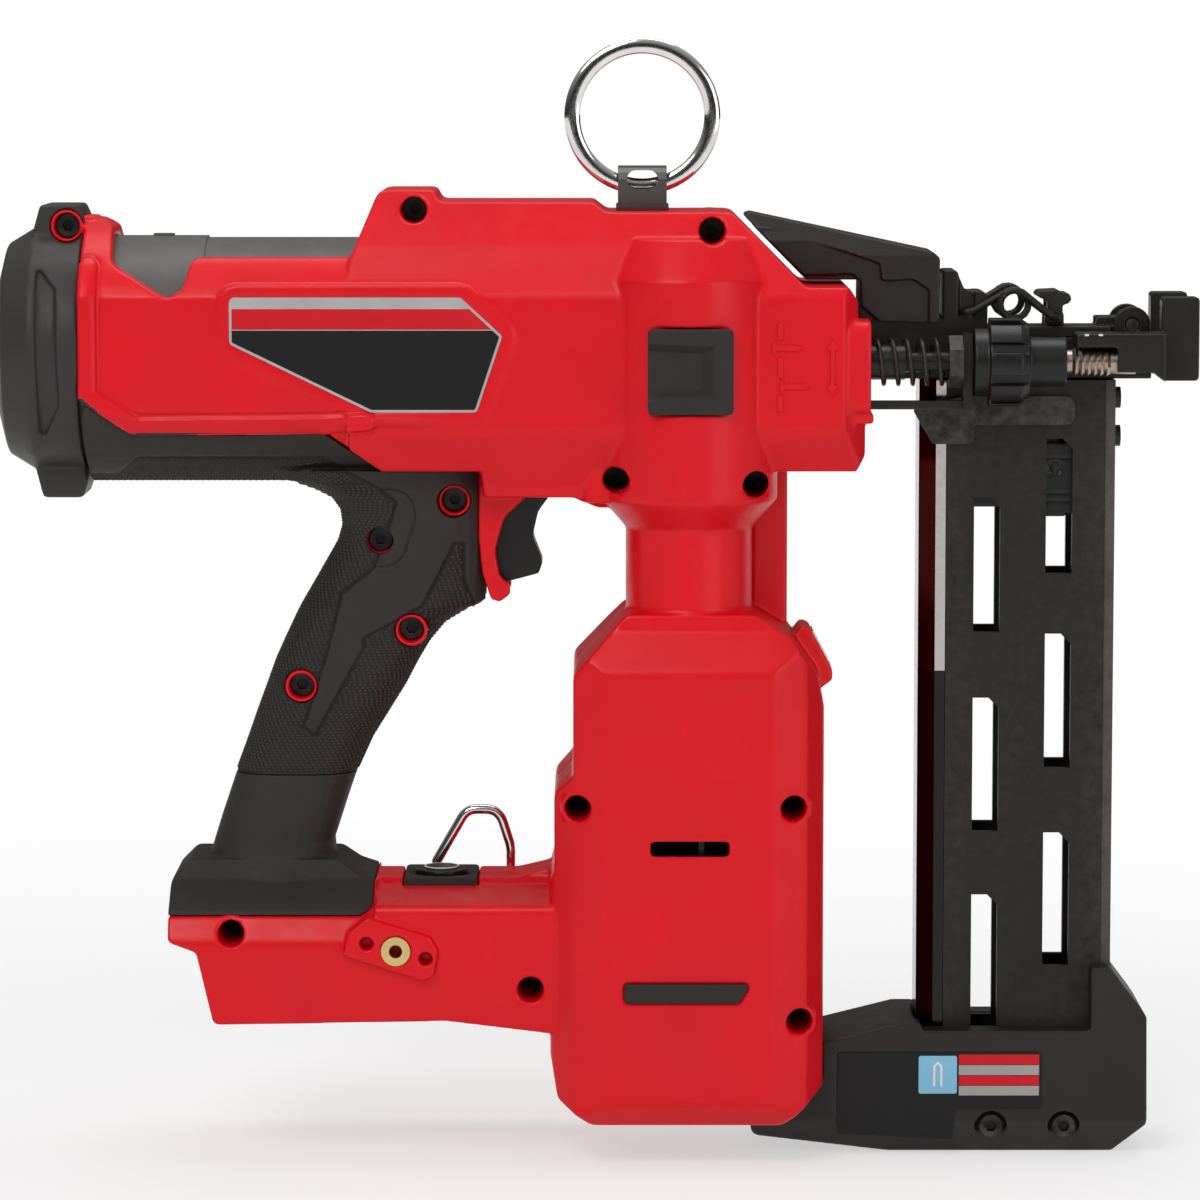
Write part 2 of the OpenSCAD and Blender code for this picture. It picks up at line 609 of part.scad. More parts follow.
module housing_form() {
    difference() {
        union() {
            difference() {
                outer_form();
                cavity();
            }
            ribs();
            for (s = screw_spots) ycyl(s[4], s[2], s[3], s[0], s[1]);
            for (s = grip_spots) ycyl(boss_r, s[2] > 0 ? -16 : -core_half_w, core_half_w - 1, s[0], s[1]);
            ycyl(6, -13, 13, trigger_pin_x, trigger_pin_z);
            cap_lug(0);
            for (f = loop_feet) zcyl(4.4, 14, 29, f[0], f[1]);
            for (s = [-1, 1]) ycyl(insert_r + 2.4, s > 0 ? 26 : -foot_half_w, s > 0 ? foot_half_w : -26,
                insert_x, insert_z);
        }
        bay();
        box([7, -11, -1], [23, 11, 10]);
        rib_bores();
        xcyl(tank_r + fit_gap, tank_back, tank_front + 1);
        trigger_room();
        nose_room();
        for (s = all_spots) screw_recess(s[0], s[1]);
        for (s = all_spots) screw_pilot(s[0], s[1], s[2]);
        box([motor_x - vent_w / 2, -far, vent_z - vent_h / 2],
            [motor_x + vent_w / 2, far, vent_z + vent_h / 2]);
        zcyl(button_r + free_gap, 20, 50, button_x, 0);
        box([button_x - bezel_w / 2 - fit_gap, -bezel_d / 2 - fit_gap, button_z],
            [button_x + bezel_w / 2 + fit_gap, bezel_d / 2 + fit_gap, 60]);
        for (s = [-1, 1]) ycyl(insert_r + run_gap, s > 0 ? foot_half_w + hook_rise - insert_l : -far,
            s > 0 ? far : -foot_half_w - hook_rise + insert_l, insert_x, insert_z);
        for (s = [-1, 1], dx = [-9.2, 9.4])
            ycyl(2.2, s > 0 ? foot_half_w - 3 : -far, s > 0 ? far : -foot_half_w + 3,
                insert_x + dx, insert_z - dx * 0.26);
        for (f = loop_feet) zcyl(loop_wire_r + fit_gap, 20, 40, f[0], f[1]);
        for (s = [-1, 1]) pad_seat(s, fit_gap);
        side(rounded(inset(raised(label_outline, drive_z), -fit_gap)),
            -far, -upper_half_w - label_rise + label_t);
        on_light_face() box([-6.2, -8.2, -lens_t], [6.2, 8.2, 3]);
    }
}
// Seats of the soft pads. The right pads sit on the bulge and the column, the left ones mirror them.
module pad_seat(s, gap) {
    y0 = s < 0 ? lift_y - bulge_r : upper_half_w;
    w = pad_side / 2 + gap;
    if (s < 0) box([motor_x - w, -far, pad_z - w], [motor_x + w, y0 + pad_t, pad_z + w]);
    else box([motor_x - w, y0 - pad_t + 1.4, pad_z - w], [motor_x + w, far, pad_z + w]);
    face = s < 0 ? -column_right : column_left;
    outline = rounded(inset(shifted(strip_pad, motor_x), -gap));
    if (s < 0) side(outline, -far, face + strip_in);
    else side(outline, face - strip_in, far);
}

module housing_right() {
    color("#d71920") right_half() housing_form();
}
// The left shell is two mouldings. The handle with the foot meets the rest under the body and at the column.
module handle_zone(d) {
    x = foot_x1 - 14 + d;
    z = trigger_pin_z + d;
    side([[-200, -100], [x, -100], [x, 56 + d], [46.3 + d, 112 + d], [46.3 + d, z], [-200, z]], -far, far);
}
module housing_left() {
    color("#d71920") difference() {
        left_half() housing_form();
        handle_zone(fit_gap / 2);
    }
}
module handle_left() {
    color("#d71920") intersection() {
        left_half() housing_form();
        handle_zone(-fit_gap / 2);
    }
}

cap_r = tank_r + 3;
cap_profile = [
    [0, cap_back], [cap_r - 17, cap_back], [cap_r - 5.5, cap_back + 3], [cap_r, cap_back + 12],
    [cap_r, cap_front], [tank_r + fit_gap, cap_front], [tank_r + fit_gap, tank_back - fit_gap],
    [0, tank_back - fit_gap]];
cap_pocket = [[14, 28, 1], [20.5, 20, 1], [21.5, -16, 1], [15, -29, 1]];
cap_top_boss = [
    [11.5, cap_r - 2], [14, cap_r + 7, 1], [26, cap_r + 7, 1], [29, cap_r + 0.5, 1], [27.7, cap_r - 9],
    [11.5, cap_r - 9]];
cap_low_boss = [
    [11.5, 9 - cap_r], [27.7, 9 - cap_r], [28.4, -2 - cap_r, 1], [26.6, -7.6 - cap_r, 1],
    [14, -7.6 - cap_r, 1], [11.5, 2 - cap_r]];
module cap_lug(gap) {
    box([cap_spot[0] - gap, -10 - gap, cap_spot[1] - 3 - gap],
        [shroud_back + 3, 10 + gap, cap_spot[1] + 3 + gap]);
}
module cap_side(p, y0, y1) {
    side(rounded(shifted(raised(p, drive_z), cap_back)), y0, y1);
}
module rear_cap() {
    color("#3b3a3a") difference() {
        union() {
            turned(cap_profile);
            cap_side(cap_top_boss, -14.5, 14.5);
            cap_side(cap_low_boss, -13, 13);
        }
        xcyl(tank_r + fit_gap, tank_back - fit_gap, cap_front + 6);
        xcyl(cap_r + 3.6, cap_front, cap_front + 16);
        ycyl(boss_r + fit_gap, -far, 11 + fit_gap, cap_spot[0], cap_spot[1]);
        cap_lug(fit_gap);
        screw_pilot(cap_spot[0], cap_spot[1], shank_end);
        both_sides() difference() {
            cap_side(cap_pocket, -far, -8);
            xcyl(cap_r - 1.8, cap_back - 1, cap_front + 20);
        }
    }
}

// Sections of the handle: [z, back, front, half width].
handle_sections = [
    [64.2, -30, 8.7, grip_half_w - 1], [75, -26, 13.6, grip_half_w - 0.6],
    [83, -23.2, 18.6, grip_half_w - 0.3], [92, -19.9, 24.2, grip_half_w],
    [100, -17, 28.4, grip_half_w], [106, -14.3, 32, grip_half_w],
    [112, -11.5, 37, grip_half_w], [116, -9.6, 43.6, grip_half_w], [118, -8.5, 49.5, grip_half_w],
    [119.6, -7.6, 51.8, grip_half_w], [124, -5, 52, grip_half_w + 0.2], [132, -0.4, 52, grip_half_w + 0.6],
    [138, 3, 52, grip_half_w + 1], [143, 4.4, 52, grip_half_w + 1.5], [148, 3.8, 52, grip_half_w + 2.2],
    [152, 1, 52, grip_half_w + 3.2], [155, -5, 52, grip_half_w + 4.4], [158, -14, 52, grip_half_w + 5.8],
    [161.8, -28, 52, grip_half_w + 7.5]];
sleeve_sections = [
    [31, -40.5, 8, grip_half_w + 3], [34, -39.4, 4.8, grip_half_w + 1], [38, -38.4, 1.8, grip_half_w - 0.6],
    [42, -37.2, 1.4, grip_half_w - 1.2], [50, -34.7, 4, grip_half_w - 1.3],
    [58, -32, 6.6, grip_half_w - 1.2], [64, -30, 8.7, grip_half_w - 1]];
loft_power = 2.6;
loft_sides = 32;
function swell(c) = sign(c) * pow(abs(c), 2 / loft_power);
module loft(rows) {
    pts = [for (s = rows, k = [0:loft_sides - 1])
        let (a = 360 * (k + 0.5) / loft_sides)
        [(s[1] + s[2]) / 2 + (s[2] - s[1]) / 2 * swell(cos(a)), s[3] * swell(sin(a)), s[0]]];
    polyhedron(points = pts, faces = ring_faces(len(rows), loft_sides));
}
handle_top = drive_z + front_low - 0.2;
handle_stretch = handle_top - handle_sections[len(handle_sections) - 1][0];
handle_rows = [for (s = handle_sections) [s[0] + (s[0] > 130 ? handle_stretch : 0), s[1], s[2], s[3]]];
module grip_form() {
    difference() {
        union() {
            loft(handle_rows);
            intersection() {
                xcyl(shroud_r, shroud_back + 1, 22);
                box([-far * 2, -upper_half_w, 100], [40, upper_half_w, 260]);
                side(rounded(raised(belly_outline, drive_z)), -far, far);
            }
        }
        xcyl(shroud_r - skin, tank_back, 12.2);
        xcyl(tank_r + 0.6, 10, tank_front + 1);
        side(rounded(inset(raised(guard_clear, drive_z), -fit_gap)), -far, far);
        trigger_room();
        core_form(fit_gap);
        for (s = grip_spots) ycyl((s[2] > 0 ? boss_r : recess_r) + fit_gap, -far, core_half_w, s[0], s[1]);
    }
}
module grip_right() {
    color("#4a4946") right_half() grip_form();
}
module grip_left() {
    color("#4a4946") left_half() grip_form();
}
module foot_boot() {
    color("#4a4946") difference() {
        union() {
            intersection() {
                side(boot_zone, -far, far);
                foot_form(0);
            }
            loft(sleeve_sections);
        }
        foot_form(skin - fit_gap);
        box([-far, -far, 0], [far, far, 21.5 + fit_gap]);
        core_form(fit_gap);
    }
}

module gas_tank() {
    color("#77777a") difference() {
        union() {
            xcyl(tank_r - 0.6, tank_back, tank_front);
            xcyl(tank_r, tank_back, tank_front - 54);
            translate([tank_front - 68, 0, drive_z + tank_r - 4]) cylinder(r = 3.4, h = 4.6);
        }
        xcyl(tank_r - tank_wall, tank_back + tank_wall, tank_front - tank_wall);
        xcyl(bore_r + cylinder_wall + fit_gap, 0, tank_front + 1);
    }
}
module drive_cylinder() {
    color("#b9bcc0") difference() {
        union() {
            xcyl(bore_r + cylinder_wall, cylinder_back, cylinder_front);
            xcyl(bore_r + cylinder_wall + 5, tank_front + fit_gap, tank_front + 6);
        }
        xcyl(bore_r, cylinder_back - 1, cylinder_front - end_plate);
        xcyl(blade_w / 2 + 1.5, 0, cylinder_front + 1);
    }
}
module bumper() {
    color("#2b2b2b") difference() {
        xcyl(bore_r - fit_gap, cylinder_front - end_plate - bumper_l, cylinder_front - end_plate - fit_gap);
        xcyl(blade_w / 2 + 1.5, 0, cylinder_front);
    }
}
seal_w = 2.6;
seal_depth = 2.2;
seal_places = [3, piston_l - 3 - seal_w];
module piston() {
    color("#c9ccd0") difference() {
        xcyl(bore_r - run_gap - 0.03, piston_back, piston_front);
        for (s = seal_places) difference() {
            xcyl(bore_r + 1, piston_back + s, piston_back + s + seal_w);
            xcyl(bore_r - seal_depth, piston_back, piston_front);
        }
        box([piston_front - socket_l, -blade_w / 2 - run_gap, drive_z - blade_t / 2 - run_gap],
            [piston_front + 1, blade_w / 2 + run_gap, drive_z + blade_t / 2 + run_gap]);
    }
}
module piston_seals() {
    color("#202020") for (s = seal_places) difference() {
        xcyl(bore_r - run_gap, piston_back + s + 0.1, piston_back + s + seal_w - 0.1);
        xcyl(bore_r - seal_depth + run_gap, piston_back, piston_front);
    }
}
module driver_blade() {
    color("#9da1a6") difference() {
        box([piston_front - socket_l + run_gap, -blade_w / 2, drive_z - blade_t / 2],
            [blade_tip, blade_w / 2, drive_z + blade_t / 2]);
        for (i = [0:lift_pins - 1])
            box([motor_x - i * rack_pitch - rack_gap / 2, -blade_w, drive_z - blade_t],
                [motor_x - i * rack_pitch + rack_gap / 2, -blade_w / 2 + tooth_h, drive_z + blade_t]);
    }
}
module lifter_frame() {
    color("#8f9499") difference() {
        union() {
            box([cylinder_front + fit_gap, frame_right, frame_z0],
                [nose_x - 22, frame_left, frame_z0 + frame_plate]);
            box([cylinder_front + fit_gap, frame_right, frame_z1 - frame_plate],
                [nose_x - 22, frame_left, frame_z1]);
            box([cylinder_front + fit_gap, -14, frame_z0], [motor_x - flange_r - 6, frame_left, frame_z1]);
            box([nose_x - 25, -nose_half_w, frame_z0], [nose_x + 1, nose_half_w, drive_z + 10]);
        }
        box([0, -blade_slot_half_w, drive_z - blade_slot_half_t],
            [nose_x + 5, blade_slot_half_w, drive_z + blade_slot_half_t]);
        zcyl(bearing_r + run_gap, frame_z0 - 1, frame_z1 + 1);
    }
}
module lifter_wheel() {
    color("#6d7277") difference() {
        union() {
            zcyl(flange_r, flange_z0, flange_z0 + flange_t);
            zcyl(flange_r, flange_z1 - flange_t, flange_z1);
            zcyl(output_r + 2, flange_z0, flange_z1);
            for (i = [0:lift_pins - 1]) lifter_pin(polar(lift_r, 90 + 360 / lift_places * i));
        }
        zcyl(output_r + press_gap, flange_z0 - 1, flange_z1 + 1);
    }
}
module lifter_pin(p) {
    zcyl(pin_r, flange_z0 + 1, flange_z1 - 1, motor_x + p[0], lift_y + p[1]);
}
module bearings() {
    color("#d2d4d6") {
        for (z = [neck_bearing_z, frame_z0, frame_z1 - bearing_w])
            pipe_z(bearing_r, output_r + run_gap, z, z + bearing_w);
        pipe_z(motor_bearing_r, rotor_shaft_r + run_gap, low_bearing_z, low_bearing_z + bearing_w);
        pipe_z(motor_bearing_r, rotor_shaft_r + run_gap, case_z0 - 1, gear_z - 1);
    }
}
module output_carrier() {
    color("#7d8287") {
        zcyl(output_r, carrier_z0, frame_z1);
        zcyl(planet_orbit + planet_pin_r + 2.5, carrier_z0, carrier_z0 + carrier_t);
        for (k = [0:2]) planet_place(k) cylinder(r = planet_pin_r, h = carrier_z0 + 1 - gear_z);
    }
}
module planet_place(k) {
    p = polar(planet_orbit, 120 * k);
    translate([motor_x + p[0], lift_y + p[1], gear_z]) children();
}
module planet(k) {
    color("#a9adb2") planet_place(k) difference() {
        linear_extrude(gear_w)
            polygon(gear_outline(planet_teeth, add_k, ded_k, backlash, 120 * k + 180 + 180 / planet_teeth));
        translate([0, 0, -1]) cylinder(r = planet_pin_r + run_gap, h = gear_w + 2);
    }
}
module planet_1() {
    planet(0);
}
module planet_2() {
    planet(1);
}
module planet_3() {
    planet(2);
}
module sun_gear() {
    color("#b7bbc0") difference() {
        translate([motor_x, lift_y, gear_z]) linear_extrude(gear_w)
            polygon(gear_outline(sun_teeth, add_k, ded_k, backlash, 0));
        zcyl(rotor_shaft_r + press_gap, gear_z - 1, gear_z + gear_w + 1);
    }
}
ring_turn = planet_teeth % 2 == 0 ? 180 / ring_teeth : 0;
module ring_gear() {
    color("#858a90") difference() {
        zcyl(ring_outer_r, case_z0, case_z1);
        translate([motor_x, lift_y, gear_z - free_gap]) linear_extrude(gear_w + 20)
            polygon(gear_outline(ring_teeth, ded_k, add_k, -backlash, ring_turn));
        zcyl(motor_bearing_r + fit_gap, case_z0 - 1, gear_z + 1);
    }
}
module stator() {
    color("#b5692c") {
        pipe_z(motor_r, motor_r - 4, stator_z0, stator_z1);
        difference() {
            pipe_z(motor_r - 4, rotor_r + air_gap, stator_z0 - 5, stator_z1 + 4);
            for (k = [0:5]) translate([motor_x, lift_y, 0]) rotate([0, 0, 60 * k + 30])
                box([rotor_r + 1, -1.2, -60], [motor_r, 1.2, 90]);
        }
    }
}
module rotor() {
    color("#5a5e63") {
        zcyl(rotor_r, stator_z0 + 2, stator_z1 - 2);
        zcyl(rotor_shaft_r, low_bearing_z, gear_z + gear_w);
    }
}
fan_blades = 9;
module fan() {
    color("#1f1f20") difference() {
        union() {
            zcyl(7, fan_z0, fan_z0 + fan_h);
            zcyl(fan_r, fan_z0, fan_z0 + 1.8);
            for (k = [0:fan_blades - 1])
                translate([motor_x, lift_y, 0]) rotate([0, 0, 360 / fan_blades * k])
                    box([6, -0.9, fan_z0 + 1], [fan_r - 0.5, 0.9, fan_z0 + fan_h]);
        }
        zcyl(rotor_shaft_r + press_gap, fan_z0 - 1, fan_z0 + fan_h + 1);
    }
}

trigger_outline = [
    [71.5, -45, 0.5], [66.8, -51.4, 4], [64.9, -59.4, 7], [68.2, -67.6, 2.4], [66.9, -71.3, 1.2],
    [56, -74.2, 0.5], [52, -71, 1], [52, -48, 2], [55, -44], [55, -34, 4], [66, -34, 4], [67.5, -43]];
module trigger() {
    color("#4a4946") difference() {
        side(rounded(raised(trigger_outline, drive_z)), -trigger_half_w, trigger_half_w);
        ycyl(trigger_pin_r + run_gap, -20, 20, trigger_pin_x, trigger_pin_z);
    }
}
module hinge_pins() {
    color("#9da1a6") {
        ycyl(trigger_pin_r, -11, 11, trigger_pin_x, trigger_pin_z);
        ycyl(hinge_pin_r, -nose_half_w, nose_half_w, hinge_x, hinge_z);
    }
}
module switches() {
    color("#1f1f20") {
        box([22.3, -core_half_w + wall + 1, 123], [32.8, core_half_w - wall - 1, 142]);
        box([32.6, -3, 128], [45.6, 3, 134]);
        box([nose_x - 32, -depth_y - 3.5, frame_z0 + frame_plate + fit_gap],
            [nose_x - 24, -depth_y + 3.5, depth_z + 5]);
    }
}
module control_unit() {
    color("#1f1f20") {
        box([-20, -20, wall + 5.6], [motor_x - 58, 20, wall + 7.4]);
        for (x = [-12, 2, 26]) box([x, -12, wall + 7], [x + 9, 4, wall + 12]);
        box([8, -10, -1], [22, 10, wall + 6]);
        box([4, -16, -9], [26, 16, -fit_gap]);
        for (y = [-11, -3.7, 3.7, 11]) box([-5, y - 0.5, -7.5], [5, y + 0.5, -2.5]);
    }
}
module button_bezel() {
    color("#4a4946") difference() {
        side(rounded(shifted(raised([[-bezel_w / 2, fit_gap], [-bezel_w / 2, bezel_h, 1],
            [bezel_w / 2, bezel_h, 1], [bezel_w / 2, fit_gap]], button_z), button_x)),
            -bezel_d / 2, bezel_d / 2);
        zcyl(button_r + free_gap, button_z - 1, button_z + 20, button_x, 0);
        translate([button_x, 0, button_z + bezel_h - 1.6])
            cylinder(r1 = button_r + 0.6, r2 = button_r + 2.8, h = 1.7);
    }
}
module mode_button() {
    color("#232323") {
        zcyl(button_r, button_z - 3 - button_travel, foot_top + 1, button_x, 0);
        zcyl(button_r - 2.7, foot_top, foot_top + 1.8, button_x, 0);
    }
}
module work_light_lens() {
    color("#e8eef2") on_light_face()
        box([-6.2 + fit_gap, -8.2 + fit_gap, -lens_t + fit_gap], [6.2 - fit_gap, 8.2 - fit_gap, 0.4]);
}
module belt_hook_inserts() {
    color("#c9a13f") for (s = [-1, 1]) difference() {
        ycyl(insert_r, s > 0 ? foot_half_w + hook_rise - insert_l + fit_gap : -foot_half_w - hook_rise - 0.2,
            s > 0 ? foot_half_w + hook_rise + 0.2 : -foot_half_w - hook_rise + insert_l - fit_gap,
            insert_x, insert_z);
        ycyl(insert_bore_r, -far, far, insert_x, insert_z);
    }
}
loop_outline = [
    [loop_feet[0][0], 21], [loop_feet[0][0], 31, 3], [43.2, 48.2, 5.5], [53.5, 48.2, 6],
    [loop_feet[1][0], 36, 12], [loop_feet[1][0], 21]];
module base_loop() {
    path = [for (q = rounded(loop_outline, 6)) [q[0], loop_y, q[1]]];
    color("#d8dadd") tube(path, loop_wire_r, 10, [1, 0, 0]);
}
ring_x = 99.8;
ring_hinge_z = drive_z + 51.4;
bracket_w = 15.4;
bracket_t = 2;
strap_half_w = ring_wire_r + 3.2;
module lanyard_bracket() {
    x0 = ring_x - bracket_w / 2;
    x1 = ring_x + bracket_w / 2;
    base_z = drive_z + upper_top + fit_gap;
    top_z = ring_hinge_z + ring_wire_r + 4;
    w = strap_half_w + bracket_t;
    hole_r = 2.9;
    hole_apart = 4;
    hole_z = ring_hinge_z + 2.4;
    color("#9a9da1") difference() {
        union() {
            section(rounded([[-w, base_z], [w, base_z], [w, top_z, 4], [-w, top_z, 4]]), x0, x1);
            box([x0 - 0.6, -w - 1, base_z], [x1 + 0.6, w + 1, base_z + 1.8]);
        }
        section(rounded([[-strap_half_w, base_z + 1.8], [strap_half_w, base_z + 1.8],
            [strap_half_w, top_z - bracket_t, 3], [-strap_half_w, top_z - bracket_t, 3]]), x0 - 2, x1 + 2);
        for (s = [-1, 1]) ycyl(hole_r, -far, far, ring_x + s * hole_apart / 2, hole_z);
        box([ring_x - hole_apart / 2, -far, hole_z - hole_r],
            [ring_x + hole_apart / 2, far, hole_z + hole_r]);
    }
}
module lanyard_ring() {
    color("#d8dadd") translate([ring_x, 0, ring_hinge_z + ring_r]) rotate([90, 0, 0])
        rotate_extrude($fn = 96) translate([ring_r, 0]) circle(r = ring_wire_r);
}
module side_pads() {
    color("#4f4e4b") difference() {
        union() {
            side(rounded(shifted(strip_pad, motor_x)), -column_right - 1, -column_right + strip_in - fit_gap);
            side(rounded(shifted(strip_pad, motor_x)), column_left - strip_in + fit_gap, column_left + 1);
            box([motor_x - pad_side / 2, lift_y - bulge_r - 1.2, pad_z - pad_side / 2],
                [motor_x + pad_side / 2, lift_y - bulge_r + pad_t - fit_gap, pad_z + pad_side / 2]);
            box([motor_x - pad_side / 2, upper_half_w - pad_t + 1.4 + fit_gap, pad_z - pad_side / 2],
                [motor_x + pad_side / 2, upper_half_w + 1.2, pad_z + pad_side / 2]);
        }
        for (s = [-1, 1])
            box([motor_x - pad_side / 2 - 1, s < 0 ? -far : upper_half_w, pad_z - 8],
                [motor_x + pad_side / 2 - 6, s < 0 ? lift_y - bulge_r + 0.4 : far, pad_z + 8]);
    }
}
module blank_plates() {
    color("#c8c9ca") {
        side(rounded(raised(label_outline, drive_z)), -upper_half_w - label_rise,
            -upper_half_w - label_rise + label_t - 0.05);
        side(rounded(inset(foot_label, 0.4)), -mag_foot_half_w + 0.05, -mag_foot_half_w + 0.45);
    }
}
module housing_screw(x, z, end) {
    difference() {
        union() {
            ycyl(head_r, seat_y - head_h, seat_y - 0.02, x, z);
            ycyl(shank_r, seat_y - 1, end, x, z);
        }
        translate([x, seat_y - head_h - 0.1, z]) rotate([-90, 0, 0]) cylinder(r = 1.9, h = 1.8, $fn = 6);
    }
}
module screws() {
    color("#1c1c1d") {
        for (s = all_spots) housing_screw(s[0], s[1], s[2]);
        magazine_screw_set();
    }
}

cover_outline = [
    [-35.4, 42.7, 0.6], [-33.2, 43.6, 1], [24.6, 31.1, 1.5], [26.5, 29.3, 1.5], [26.3, 8.8, 1], [7.8, 9.2, 2],
    [2, 14.2, 1], [1.6, 21.8, 1], [-1.1, 24.3, 1], [-16.4, 24, 1]];
cover_core = [[-32, 39], [-15.6, 22.4], [1.4, 22.4], [1.4, 9.4], [9, 9.4], [9, 30], [-20, 38]];
cover_recess = [
    [-60, 41.9], [-33.9, 41.9], [-32.2, 40.4], [3.2, 29.3, 1], [7.6, 27.6, 1], [8.1, 22.3, 1],
    [18.2, 22.7, 1], [23.1, 19.4, 1], [23.2, 0], [-60, 0]];
cover_hollow = [
    [-27, 36.4], [-27, 37.4], [23.3, 28.6], [23.3, 13.4], [9.4, 13.4], [5.4, 25], [-14.4, 25.6]];
cover_half_w = 17;
cover_in = 11;
module cover_side(p, y0, y1) {
    side(rounded(shifted(raised(p, drive_z), nose_x)), y0, y1);
}
module nose_cover() {
    color("#232324") difference() {
        union() {
            intersection() {
                cover_side(cover_outline, -cover_half_w, cover_half_w);
                section(rounded(raised([[-cover_half_w, 0], [cover_half_w, 0], [cover_half_w, 30, 4],
                    [10, 46], [-10, 46], [-cover_half_w, 30, 4]], drive_z)), 100, 240);
            }
            cover_side(cover_core, -13.6, 13.6);
        }
        both_sides() cover_side(cover_recess, -far, 2 - cover_half_w);
        intersection() {
            cover_side(cover_hollow, -cover_in, cover_in);
            section(rounded(raised([[-cover_in, 0], [cover_in, 0], [cover_in, 28], [6, 43], [-6, 43],
                [-cover_in, 28]], drive_z)), 100, 240);
        }
        cover_side([[10, 5], [23, 5], [23, 16], [10, 16]], -9, 9);
        box([100, -nose_half_w - 0.3, drive_z], [nose_x + 60, nose_half_w + 0.3, drive_z + 10.3]);
    }
}
nose_front = nose_x + 94;
nose_z0 = drive_z - 9;
nose_z1 = drive_z + 4;
hinge_x = nose_x + 87.8;
hinge_z = drive_z + 8;
hinge_pin_r = 2;
ear_r = 5.8;
notch_x = nose_x + 34.6;
pocket_d = 2.4;
module nose_frame() {
    rear = nose_x + 1 + fit_gap;
    color("#303132") difference() {
        union() {
            box([rear, -nose_half_w, nose_z0], [nose_front, nose_half_w, nose_z1]);
            box([rear, -nose_half_w, nose_z0], [nose_x + 28, nose_half_w, drive_z + 10]);
            both_sides() {
                ycyl(ear_r, -nose_half_w, -nose_half_w + 2.6, hinge_x, hinge_z);
                box([hinge_x - ear_r, -nose_half_w, nose_z0], [hinge_x + ear_r, -nose_half_w + 2.6, hinge_z]);
            }
            side(rounded(shifted(raised([[27.8, 4], [27.8, 25.2, 1], [32.2, 25.2, 1], [35, 18.6, 2],
                [42, 18.6, 2], [42, 4]], drive_z), nose_x)), -nose_half_w, nose_half_w);
        }
        box([nose_x, -blade_slot_half_w, drive_z - blade_slot_half_t],
            [nose_front + 5, blade_slot_half_w, drive_z + blade_slot_half_t]);
        box([nose_x + 43.5, -blade_slot_half_w, drive_z - blade_slot_half_t],
            [nose_front - 10, blade_slot_half_w, drive_z + 40]);
        box([mag_x0 + rail_depth, -blade_slot_half_w, nose_z0 - 1],
            [mag_x1 - strip_t, blade_slot_half_w, drive_z]);
        ycyl(hinge_pin_r + fit_gap, -far, far, hinge_x, hinge_z);
        box([hinge_x - ear_r - 2, -nose_half_w + 2.6, drive_z],
            [nose_front + 2, nose_half_w - 2.6, hinge_z + 20]);
        both_sides() box([notch_x - 1.8, -far, drive_z + 10.4],
            [notch_x + 3.4, -nose_half_w + pocket_d, drive_z + 30]);
    }
}
door_x0 = nose_x + 45;
door_half_w = nose_half_w - 0.2;
pivot_x = nose_x + 63.5;
pivot_z = drive_z + 10.4;
wire_r = 1.2;
lug_r = 3;
module nose_door() {
    knuckle_half_w = nose_half_w - 2.6 - free_gap;
    rest_z = nose_z1 + 0.3;
    color("#262627") difference() {
        union() {
            box([door_x0, -door_half_w, rest_z], [hinge_x - ear_r - 1, door_half_w, rest_z + 3.2]);
            box([door_x0, -blade_slot_half_w + 0.4, drive_z + blade_slot_half_t],
                [hinge_x - ear_r - 1, blade_slot_half_w - 0.4, rest_z + 1]);
            box([hinge_x - ear_r - 4, -knuckle_half_w, rest_z], [hinge_x, knuckle_half_w, rest_z + 3.2]);
            ycyl(4.6, -knuckle_half_w, knuckle_half_w, hinge_x, hinge_z);
            both_sides() {
                side(rounded(shifted(raised([[76.8, 7], [76.8, 10.4, 0.6], [84.4, 10.4, 0.6], [84.4, 7]],
                    drive_z), nose_x)), -6.6, -3.6);
                ycyl(lug_r, -6.6, -3.6, pivot_x, pivot_z);
                box([pivot_x - lug_r, -6.6, rest_z], [pivot_x + lug_r, -3.6, pivot_z]);
            }
        }
        ycyl(hinge_pin_r + run_gap, -far, far, hinge_x, hinge_z);
        ycyl(wire_r + run_gap, -far, far, pivot_x, pivot_z);
    }
}
lever_outline = [
    [-6.3, 6.7, 0.8], [-4.7, 8.2, 1], [1.3, 8.5, 0.8], [2.1, 7.5], [4.4, 7.5, 0.7], [5.2, 5.7, 0.6],
    [4.4, 4.4, 0.6], [1.5, 3.4]];
module latch_lever() {
    color("#2b2b2c") difference() {
        union() {
            side(rounded(shifted(raised(lever_outline, pivot_z), pivot_x)), -9, 9);
            ycyl(lug_r - 0.4, -3.3, 3.3, pivot_x, pivot_z);
            box([pivot_x - 2, -3.3, pivot_z], [pivot_x + 2, 3.3, pivot_z + 6]);
            both_sides() box([pivot_x - 2.4, -9, pivot_z - 1.9], [pivot_x + 2.4, -7.2, pivot_z + 6]);
        }
        ycyl(wire_r + press_gap, -far, far, pivot_x, pivot_z);
    }
}
wire_y = nose_half_w + wire_r + free_gap;
wire_z = drive_z + 12;
curl_r = 4.5;
curl_x = nose_x + 50.1;
curl_z = drive_z + 14.7;
curl_rings = 18;
curl_shift = 3.4;
wire_out_y = wire_y + curl_shift;
curl_points = [for (i = [curl_rings:-1:0])
    let (a = 120 - 420 * i / curl_rings)
    [curl_x + curl_r * cos(a), wire_y + curl_shift * i / curl_rings, curl_z + curl_r * sin(a)]];
